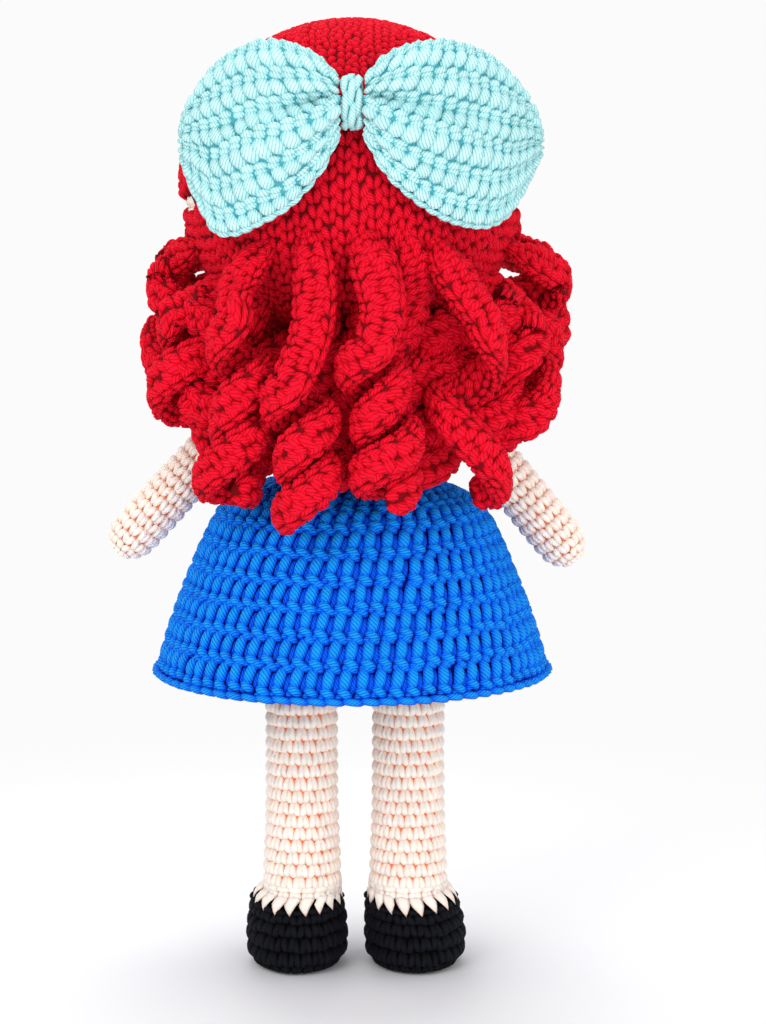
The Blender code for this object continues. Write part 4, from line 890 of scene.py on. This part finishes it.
def lock_table(name, root_place, sway, top, tip, ring, *curl):
    """Middle line, facing, half width along one lock: a fall from its root, then the corkscrew."""
    root_deg, root_share = root_place
    root, sway, top, tip = (math.radians(a) for a in (root_deg, sway, top, tip))
    helix, faces = corkscrew(ring, LEADS.get(name, 1.0), top, tip, *curl)
    if root_share is None:
        root_z = float(np.interp(np.mod(root_deg / 360, 1) * 180, np.arange(181), EDGE_TABLE)) - WIG_WALL
        root_z = root_z - edge_slope(math.cos(root)) * abs(math.sin(root)) * 6.1 * MM + 4 * MM
        root_z = min(root_z, NAPE_TOP_Z - 1.5 * MM)
        root_radius = egg_radius(root_z, 0.0) + LOCK_THICKNESS / 2 - 2.4 * MM
        lifts, broad = (1.4 * MM, 2.6 * MM), LOCK_WIDTH
    else:
        root_z = HEAD_Z - HAIR_LENGTH * root_share - 2 * MM
        root_radius = egg_radius(root_z, WIG_GROW) - 1.9 * MM
        lifts, broad = (0.6 * MM, 2.9 * MM), FALL_WIDTH * BROADER_FALL.get(name, 1.0)
    start = helix[0]
    start_angle, start_radius = math.atan2(start[0], start[1]), math.hypot(start[0], start[1])
    guide = [outward(root) * root_radius + np.array([0, 0, root_z])]
    for share, lift in zip((0.35, 0.70), lifts):
        height = root_z + (start[2] - root_z) * share
        angle = root + (start_angle - root) * share + sway
        radius = max(root_radius + (start_radius - root_radius) * share, egg_radius(height, WIG_GROW) + lift)
        guide.append(outward(angle) * radius + np.array([0, 0, height]))
    fall = list(smooth(guide + [start], 14)[0][:-1])
    level = [p * (1, 1, 0) / np.linalg.norm(p * (1, 1, 0)) for p in fall]
    table = []
    for i, (p, f) in enumerate(zip(fall + helix, level + faces)):
        table.append((*p, *f, (broad + (LOCK_WIDTH - broad) * min(i / len(fall), 1.0) ** 3) / 2))
    return table


class StripForm:
    """A thick strip along a line: its flat side faces one way, and its edges are rounded."""

    def __init__(self, table):
        self.table, self.length = smooth(table, 500)
        self.table[:, :2] += (DOLL_X, DOLL_Y)

    def inside(self, u, v):
        return read(self.table, v)[..., :3]

    def place(self, u, v):
        row = read(self.table, v)
        near = np.clip(v, 0.005, 0.995)
        along = unit(read(self.table, near + 0.004)[..., :3] - read(self.table, near - 0.004)[..., :3])
        face = row[..., 3:6]
        face = unit(face - along * (face * along).sum(-1)[..., None])
        c, s = np.cos(2 * math.pi * u), np.sin(2 * math.pi * u)
        root = np.clip(v * self.length / (13 * MM), 0.02, 1) ** 0.6
        close = np.clip((1 - v) * self.length / (4.5 * MM), 0.03, 1) ** 0.5 * root
        across = np.sign(s) * np.abs(s) ** 0.9 * row[..., 6] * close
        out = np.sign(c) * np.abs(c) ** 0.85 * LOCK_THICKNESS / 2 * close
        return row[..., :3] + np.cross(along, face) * across[..., None] + face * out[..., None]


LOCK_PLAIT = vee(NESTED_V, *LOCK_CELL, 2.5)
LOCK_EDGE = stitch(
    strand((-2.1, -0.3, -0.4), (0.0, 0.0, 0.9), (2.1, 0.5, -0.4), 2.4, 0.95),
    strand((-2.1, 1.8, -0.4), (0.0, 2.1, 0.8), (2.1, 2.6, -0.4), 2.3, 0.95),
)
LOCK_BUMP = stitch(
    strand((-2.2, -0.5, -0.1), (0.0, 0.0, 1.0), (2.2, 0.9, -0.1), 2.85, 0.95),
    strand((-2.2, 2.8, -0.1), (0.0, 2.2, 1.0), (2.2, 1.8, -0.1), 2.85, 0.95),
)
# Each pattern, its columns round the strip with how far on in a row each starts, its sink, wobble and whirl
LOCK_COLUMNS = (
    (LOCK_PLAIT, ((0.15, 0.0), (-0.15, 0.5), (0.42, 0.0), (0.58, 0.5)), 1.4, 0.08, 0.15),
    (LOCK_EDGE, ((0.285, 0.0), (-0.285, 0.3)), 1.2, 0.06, 0.10),
    (LOCK_BUMP, ((0.054, 0.0), (-0.054, 0.5)), 1.3, 0.06, 0.30),
)
for name, *lock in LOCKS:
    form = StripForm(lock_table(name, *lock))
    rows = round(form.length / (LOCK_CELL[1] * MM))
    tall = 0.985 / rows
    parts = [shade_lining(form, 0.35, steps=20, rows=max(60, 3 * rows), crest=0.24)]
    for pattern, columns, sink, wobble, whirl in LOCK_COLUMNS:
        cells = [(u, 0.005 + tall * row + late * tall, 1 / 6.4, tall) for row in range(rows) for u, late in columns]
        parts.append(lay(form, pattern, *LOCK_CELL, cells, sink, wobble=wobble, whirl=whirl))
    stands_for = [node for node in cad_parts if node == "hair_lock_" + name]
    piece = knit("hair_lock_" + name + "_knit", parts, RED_YARN, "head", *stands_for)

# Bow. Two loops of pale aqua cotton in rows that fan out from the middle, folded in at the centre, held
# by a band of chain stitch wrapped round both and sewn to the back of the wig.
LOBE_HEIGHT = 52.0 * MM
LOBE_THICKNESS = 9.0 * MM
LEFT_LOBE_LENGTH = 50.0 * MM
RIGHT_LOBE_LENGTH = 56.0 * MM
# How far out, upper and lower edge, and thickness, as shares
LEFT_LOBE_SHARES = (
    (0.082, 0.14, -0.14, 0.62), (0.20, 0.26, -0.37, 0.86), (0.36, 0.33, -0.55, 1.00),
    (0.53, 0.345, -0.65, 1.00), (0.69, 0.29, -0.72, 0.97), (0.80, 0.22, -0.70, 0.92),
    (0.90, 0.10, -0.54, 0.84), (0.965, -0.05, -0.40, 0.70), (1.00, -0.18, -0.30, 0.50),
)
RIGHT_LOBE_SHARES = (
    (0.073, 0.14, -0.14, 0.62), (0.18, 0.26, -0.36, 0.86), (0.33, 0.33, -0.52, 1.00),
    (0.51, 0.345, -0.64, 1.00), (0.69, 0.29, -0.68, 0.97), (0.81, 0.20, -0.62, 0.92),
    (0.90, 0.09, -0.49, 0.84), (0.965, -0.07, -0.36, 0.70), (1.00, -0.18, -0.29, 0.50),
)
FOLDS_END = 0.68
low, high = np.array(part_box("bow_band"))
BOW_Y, BOW_Z = (low[1] + high[1]) / 2, (low[2] + high[2]) / 2
AQUA_YARN = yarn("aqua_cotton_yarn", "#c8f4f5", "#a6e6ea", "#68c8d2", "#2aa0b0", sheen=0.1, groove_shade=0.20, bump=0.8)


class LobeForm:
    """One loop of the bow, as stations out from the middle; the way round starts at the top."""

    def __init__(self, way, length, shares):
        rows = []
        for out, top, bottom, thick in shares:
            x = length * out
            share = x / RIGHT_LOBE_LENGTH
            y = BOW_Y + 20.6 * MM * share - 48.7 * MM * share ** 2
            z = BOW_Z + LOBE_HEIGHT * (top + bottom) / 2
            rows.append((DOLL_X + way * x, y, z, LOBE_HEIGHT * (top - bottom) / 2, LOBE_THICKNESS * thick / 2, share))
        self.table, self.length = smooth(rows, 400)
        self.angles = np.linspace(0, 2 * math.pi, 721)
        steps = np.hypot(np.diff(6 * np.cos(self.angles)), np.diff(24 * np.sin(self.angles)))
        self.far = np.concatenate([[0], np.cumsum(steps)])
        self.far /= self.far[-1]
        self.way = way

    def inside(self, u, v):
        return read(self.table, u)[..., :3]

    def place(self, u, v):
        """u runs out along the loop, v round it."""
        row = read(self.table, u)
        at = np.clip(u, 0.011, 0.989)
        near = unit(read(self.table, at + 0.01)[..., :2] - read(self.table, at - 0.01)[..., :2])
        back = np.stack([-near[..., 1] * self.way, near[..., 0] * self.way, np.zeros(near.shape[:-1])], axis=-1)
        angle = np.interp(np.mod(v, 1.0), self.far, self.angles)
        up = np.sin(angle)
        reach = np.clip(1 - u / FOLDS_END, 0, 1)
        crease = 5.2 * MM * np.exp(-((up - 0.16) / 0.15) ** 2) * reach ** 0.6
        flap = 3.0 * MM * np.exp(-((up + 0.12) / 0.20) ** 2) * reach ** 0.6
        over = 2.2 * MM * np.exp(-((up + 0.04) / 0.14) ** 2) * reach ** 0.5 * (np.cos(angle) > 0)
        out = np.cos(angle) * row[..., 4] * np.clip((1 - u) / 0.05, 0.05, 1) ** 0.5
        out = out + np.clip(np.cos(angle) * 2.5, 0, 1) * (flap - crease)
        point = row[..., :3] + back * out[..., None]
        point[..., 2] += up * row[..., 3] + over
        return point


class LobeTurned:
    """The same loop with the way round as its first direction, for the fabric behind its stitches."""

    def __init__(self, form):
        self.place = lambda u, v: form.place(v, u)
        self.inside = lambda u, v: form.inside(v, u)


# Out along the loop is across here. Rows worked from this side show long slanting lobes, and rows worked
# from the other side show two low ridges of bumps.
BOW_POST = stitch(strand((2.6, 6.1, -0.7), (0.15, 2.6, 1.15), (-2.4, -1.1, -0.5), 4.0, 0.72, 0.32))
BOW_BUMPS = stitch(
    strand((2.9, 3.8, -0.6), (0.2, 2.7, 0.65), (-2.5, 1.5, -0.6), 2.6, 0.85),
    strand((2.7, 1.9, -0.6), (0.2, 0.8, 0.50), (-2.3, -0.3, -0.6), 2.5, 0.85),
)
BOW_RIM = chain(4.4, 2.6, 2.3, 0.22)
BOW_PAIRS = 12
BOW_STITCH_WIDE = 3.9
POST_SHARE = 0.56
for side, way, length, shares in (("left", 1, LEFT_LOBE_LENGTH, LEFT_LOBE_SHARES),
                                  ("right", -1, RIGHT_LOBE_LENGTH, RIGHT_LOBE_SHARES)):
    form = LobeForm(way, length, shares)
    columns = round(form.length / (BOW_STITCH_WIDE * MM))
    parts = [shade_lining(LobeTurned(form), 0.7, steps=72, rows=50, crest=0.12)]
    # Each pattern, its height, its rows, how far along and round it starts, its share of a row; sink and luck
    for pattern, tall, pairs, aside, on, share, sink, wobble, whirl in (
        (BOW_POST, 5.2, range(BOW_PAIRS), 0.4, 0.0, POST_SHARE, 1.1, 0.04, 0.05),
        (BOW_BUMPS, 4.1, range(BOW_PAIRS), 0.7, POST_SHARE, 1 - POST_SHARE, 1.2, 0.05, 0.06),
        (BOW_RIM, 4.6, (0.75 * BOW_PAIRS,), 0.5, 0.0, 0.5, -0.1, 0.02, 0.02),
    ):
        cells = [((column + aside) / columns, (pair + on) / BOW_PAIRS, 1 / columns, share / BOW_PAIRS)
                 for pair in pairs for column in range(columns)]
        parts.append(lay(form, pattern, BOW_STITCH_WIDE, tall, cells, sink, wobble=wobble, whirl=whirl))
    loop = knit("bow_" + side + "_loop_knit", parts, AQUA_YARN, "head", "bow_" + side + "_loop")


def upended(points):
    """A round form laid on its side, so that the band wraps over and under the bow's middle."""
    return points[..., ::-1]


half = (high - low) / 2
BAND_COLUMNS, BAND_ROWS = 3, 5
BAND_UNDER = 0.9 * MM
BAND_STRAND = stitch(strand((-8.5, 0.9, -0.5), (0.0, 0.0, 0.9), (8.5, -0.9, -0.5), 2.9, 0.9, 0.30))
form = RoundForm([
    (DOLL_X + (half[0] - BAND_UNDER) * across, (half[2] - BAND_UNDER) * share, half[1] * share, BOW_Z, BOW_Y)
    for across, share in ((-1.0, 0.86), (-0.8, 0.95), (0.0, 1.0), (0.8, 0.95), (1.0, 0.86))
], upended)
cells = [
    ((row + 0.4 * column) / BAND_ROWS, (column + 0.5) / BAND_COLUMNS, 1 / BAND_ROWS, 1 / BAND_COLUMNS)
    for column in range(BAND_COLUMNS) for row in range(BAND_ROWS)
]
tall = 2 * half[0] / MM / BAND_COLUMNS
parts = [shade_lining(form, 1.2, rows=12), lay(form, BAND_STRAND, 11.0, tall, cells, 1.0, wobble=0.02, whirl=0.02)]
band = knit("bow_band_knit", parts, AQUA_YARN, "head", "bow_band")

# Inside. Beech dowels and buttons, grey board insoles, moulded washers and the waxed cord through both
# shoulders stay as the CAD has them, and each gets its own finish.
beech = bpy.data.materials.new("turned_beech")
beech.use_nodes = True
tree = beech.node_tree
shader = tree.nodes["Principled BSDF"]
# Turned and unvarnished: pale pinkish brown with long fine grain, dull, and the short dark flecks of beech.
place = add(tree, "TexCoord").outputs["Object"]
stretched = add(tree, "Mapping", {"Vector": place, "Scale": (1.0, 1.0, 0.08)})
grain = add(tree, "TexNoise", {"Vector": stretched.outputs[0], "Scale": 1 / (0.9 * MM), "Detail": 5.0})
fleck = add(tree, "TexVoronoi", {"Vector": stretched.outputs[0], "Scale": 1 / (1.4 * MM)})
spots = add(tree, "MapRange", {0: fleck.outputs["Distance"], 1: 0.10, 2: 0.22, 3: 0.82, 4: 1.0})
wood = add(tree, "Mix", {0: grain.outputs["Fac"], 6: linear("#c99b6c"), 7: linear("#e8c79b")}, data_type="RGBA")
flecked = add(tree, "VectorMath", {0: wood.outputs[2], 3: spots.outputs[0]}, operation="SCALE")
tree.links.new(flecked.outputs[0], shader.inputs["Base Color"])
raised = add(tree, "Bump", {"Strength": 0.3, "Distance": 0.05 * MM, "Height": grain.outputs["Fac"]})
tree.links.new(raised.outputs[0], shader.inputs["Normal"])
shader.inputs["Roughness"].default_value = 0.62

board = bpy.data.materials.new("pressed_grey_board")
board.use_nodes = True
tree = board.node_tree
shader = tree.nodes["Principled BSDF"]
# Pressed from pulp: grey, matt, mottled by fibres.
place = add(tree, "TexCoord").outputs["Object"]
pulp = add(tree, "TexNoise", {"Vector": place, "Scale": 1 / (0.7 * MM), "Detail": 6.0, "Roughness": 0.7})
tint = add(tree, "Mix", {0: pulp.outputs["Fac"], 6: linear("#8c8984"), 7: linear("#b4b0a9")}, data_type="RGBA")
tree.links.new(tint.outputs[2], shader.inputs["Base Color"])
raised = add(tree, "Bump", {"Strength": 0.4, "Distance": 0.08 * MM, "Height": pulp.outputs["Fac"]})
tree.links.new(raised.outputs[0], shader.inputs["Normal"])
shader.inputs["Roughness"].default_value = 0.9

washer = bpy.data.materials.new("moulded_white_polyethylene")
washer.use_nodes = True
tree = washer.node_tree
shader = tree.nodes["Principled BSDF"]
# Injection moulded: milky, half matt, with faint flow marks.
place = add(tree, "TexCoord").outputs["Object"]
flow = add(tree, "TexNoise", {"Vector": place, "Scale": 1 / (2.5 * MM), "Detail": 2.0})
milky = add(tree, "Mix", {0: flow.outputs["Fac"], 6: linear("#e4e6e4"), 7: linear("#f4f5f2")}, data_type="RGBA")
tree.links.new(milky.outputs[2], shader.inputs["Base Color"])
dull = add(tree, "MapRange", {0: flow.outputs["Fac"], 3: 0.35, 4: 0.5})
tree.links.new(dull.outputs[0], shader.inputs["Roughness"])

waxed = bpy.data.materials.new("waxed_polyester_cord")
waxed.use_nodes = True
tree = waxed.node_tree
shader = tree.nodes["Principled BSDF"]
# Twisted and waxed: off-white, its strands winding round it, with a soft shine from the wax. Its colour is painted
# shade in the grooves between the strands and a painted highlight on their crowns.
place = add(tree, "TexCoord").outputs["Object"]
twist = {"Vector": place, "Scale": 1 / (6.0 * MM), "Distortion": 0.6}
wound = add(tree, "TexWave", twist, bands_direction="DIAGONAL")
white = add(tree, "Mix", {0: wound.outputs["Fac"], 6: linear("#b9b2a2"), 7: linear("#eee9dc")}, data_type="RGBA")
tree.links.new(white.outputs[2], shader.inputs["Base Color"])
raised = add(tree, "Bump", {"Strength": 0.6, "Distance": 0.1 * MM, "Height": wound.outputs["Fac"]})
tree.links.new(raised.outputs[0], shader.inputs["Normal"])
shader.inputs["Roughness"].default_value = 0.42
for finish, nodes in (
    (beech, ("neck_dowel", "left_leg_rod", "right_leg_rod", "left_arm_button", "right_arm_button")),
    (board, ("left_insole", "right_insole")),
    (washer, ("left_eye_washer", "right_eye_washer")),
    (waxed, ("arm_joint_cord",)),
):
    for node in nodes:
        for slot in bpy.data.objects[node].material_slots:
            slot.material = finish

# Studio. A pale floor and a white backdrop. A soft key lamp from above and a low, soft fill light the back,
# and two more stand above and in front.
CAMERA_AWAY = 0.950
CAMERA_Z = 0.262
CAMERA_TILT = 6.95
# In pixels of the photograph
PICTURE_HEIGHT = 1024
CAMERA_FOCAL = 3040
CAMERA_ASIDE = 31
bpy.ops.mesh.primitive_plane_add(size=6.0, location=(0, 0, -0.0002))
floor = bpy.context.active_object
floor.name = "floor"
paper = bpy.data.materials.new("white_paper")
paper.use_nodes = True
tree = paper.node_tree
shader = tree.nodes["Principled BSDF"]
shader.inputs["Base Color"].default_value = linear("#eaeaec")
shader.inputs["Roughness"].default_value = 0.8
floor.data.materials.append(paper)
out = tree.nodes["Material Output"]
white = add(tree, "Emission", {"Color": linear("#fbfbfb"), "Strength": 1.0})
place = add(tree, "TexCoord").outputs["Object"]
far = add(tree, "VectorMath", {0: place}, operation="LENGTH")
fade = add(tree, "MapRange", {0: far.outputs["Value"], 1: 0.07, 2: 0.40}, interpolation_type="SMOOTHSTEP")
ray = add(tree, "LightPath")
seen = add(tree, "Math", {0: ray.outputs["Is Camera Ray"], 1: fade.outputs[0]}, operation="MULTIPLY")
mix = add(tree, "MixShader", {0: seen.outputs[0], 1: shader.outputs[0], 2: white.outputs[0]})
tree.links.new(mix.outputs[0], out.inputs["Surface"])

world = bpy.data.worlds.new("studio")
bpy.context.scene.world = world
world.use_nodes = True
tree = world.node_tree
soft = tree.nodes["Background"]
soft.inputs["Color"].default_value = linear("#ffffff")
soft.inputs["Strength"].default_value = 0.72
plain = add(tree, "Background", {"Color": linear("#fbfbfb"), "Strength": 1.0})
ray = add(tree, "LightPath")
seen = add(tree, "Math", {0: ray.outputs["Is Camera Ray"], 1: ray.outputs["Is Glossy Ray"]}, operation="MAXIMUM")
mix = add(tree, "MixShader", {0: seen.outputs[0], 1: soft.outputs[0], 2: plain.outputs[0]})
tree.links.new(mix.outputs[0], tree.nodes["World Output"].inputs["Surface"])


def softbox(name, place, aim, size, power):
    """A soft lamp that faces a point."""
    lamp = bpy.data.lights.new(name, "AREA")
    lamp.shape = "DISK"
    lamp.size = size
    lamp.energy = power
    holder = bpy.data.objects.new(name, lamp)
    bpy.context.scene.collection.objects.link(holder)
    holder.location = place
    holder.rotation_euler = (Vector(aim) - Vector(place)).to_track_quat("-Z", "Y").to_euler()
    return holder


softbox("key", (0.7, 1.2, 1.0), (0, 0, 0.15), 1.1, 9.5)
softbox("fill", (-0.6, 1.4, 0.20), (0, 0, 0.12), 1.1, 11.0)
softbox("top", (0.0, -0.3, 1.4), (0, 0, 0.15), 1.0, 7.0)
softbox("front", (0.2, -1.4, 0.8), (0, 0, 0.15), 1.0, 5.0)

camera = bpy.data.cameras.new("camera")
camera.sensor_fit = "VERTICAL"
camera.sensor_height = 36.0
camera.lens = 36.0 * CAMERA_FOCAL / PICTURE_HEIGHT
camera.clip_start = 0.05
viewer = bpy.data.objects.new("camera", camera)
bpy.context.scene.collection.objects.link(viewer)
viewer.location = (DOLL_X, DOLL_Y + CAMERA_AWAY, CAMERA_Z)
viewer.rotation_euler = (math.radians(90 - CAMERA_TILT), 0.0, math.radians(180) - CAMERA_ASIDE / CAMERA_FOCAL)
bpy.context.scene.camera = viewer
bpy.context.scene.view_settings.view_transform = "Standard"
